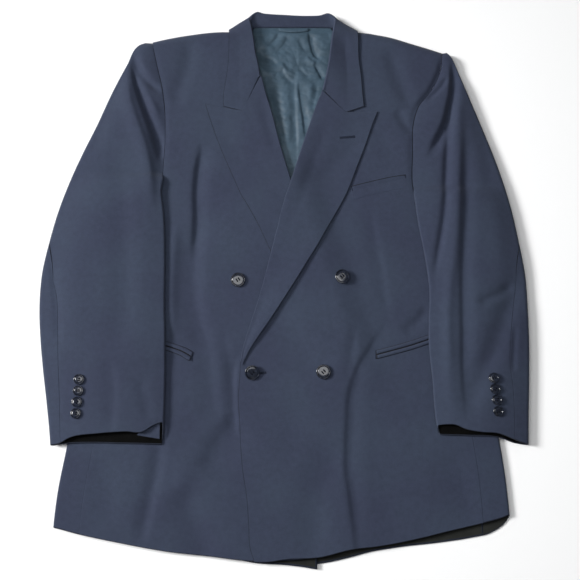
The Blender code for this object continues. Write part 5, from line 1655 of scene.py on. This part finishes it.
def crushing(x, y):
    """Small sharp folds all over, that run into one another."""
    total = 0.0
    for wavelength, depth, direction in CRUSHING:
        turn = math.radians(direction)
        ahead, aside = x * math.cos(turn) + y * math.sin(turn), y * math.cos(turn) - x * math.sin(turn)
        ahead = ahead + SWAY * wavelength * np.sin(aside / (SWAY_LENGTH * wavelength) + direction)
        change = np.sin(aside / (STRENGTH_LENGTH * wavelength) + ahead / STRENGTH_DRIFT)
        strength = STRENGTH + STRENGTH_CHANGE * change
        fold = abs(np.sin(math.pi * ahead / wavelength)) ** SHARPNESS - FOLD_LEVEL
        total = total + depth * strength * fold
    return total


def lining_height(x, y):
    """Upper face of the lining."""
    held = fade(abs(x - LINING_MIDDLE), *HELD_SIDES) * fade(y, *HELD_TOP) * fade(y, *HELD_LOW)
    pleat = PLEAT_RISE * fade(x - PLEAT, *PLEAT_EDGE) * (1 - fade(x - PLEAT, *PLEAT_FADE))
    pleat = pleat * fade(y, *PLEAT_TOP)
    tilt = TILT * np.clip(x - TILT_FROM, 0, TILT_REACH) * fade(y, *TILT_Y)
    loose = LOOSE + LIFTED * fade(y, *LIFTED_Y) + tilt + LINING_CREASES(x, y) + crushing(x, y)
    under = back_raise(x, y) + vent_step(x, y) + WALL + LINING_GAP + LINING_WALL
    height = under + np.maximum(loose * held, 0.0) + pleat
    return np.minimum(height, CROWN(y) - WALL - LINING_GAP)


def lining_place(u, v):
    y = mix(LINING_TOP, LINING_LOW, v)
    half = mix(*LINING_HALF, ease(v * LINING_WIDENS))
    x = mix(LINING_MIDDLE - half, LINING_MIDDLE + half, u)
    return x, y, lining_height(x, y)


blue_satin = satin("blue_grey_satin", SATIN_DARK, SATIN_LIGHT, roughness=0.55, shine=0.3)
lining = cloth_piece("back_neck_lining", even(LINING_COLUMNS), even(LINING_ROWS), lining_place,
                     blue_satin, wall=LINING_WALL, turned=True)
laid(lining, ["lining_back"])

# ---------------------------------------------------------------- Hanger loop
# A folded strip of lining, sewn into the neck seam at both ends and a little slack between them. It
# lies on the lining.

LOOP_ENDS = (-17.0, 28.0)
LOOP_TOP = 408.6
LOOP_WIDTH = 5.0
LOOP_WALL = 0.4
LOOP_COLUMNS = 41
# how far its middle hangs and stands off, how much its face is rounded, and its height over the
# lining, taken along one line
LOOP_SLACK, LOOP_STANDS, LOOP_ARCH = 3.0, 1.3, 0.5
LOOP_RISE, LOOP_LINE = 1.2, 404.0


def loop_place(u, v):
    x = mix(*LOOP_ENDS, u)
    slack = np.sin(math.pi * u)
    y = LOOP_TOP - LOOP_SLACK * slack - LOOP_WIDTH * v
    return x, y, lining_height(x, LOOP_LINE) + LOOP_RISE + LOOP_STANDS * slack + LOOP_ARCH * arched(v)


loop = cloth_piece("hanger_loop_strip", even(LOOP_COLUMNS), round_rows, loop_place, blue_satin,
                   wall=LOOP_WALL, turned=True)
laid(loop, ["hanger_loop"])
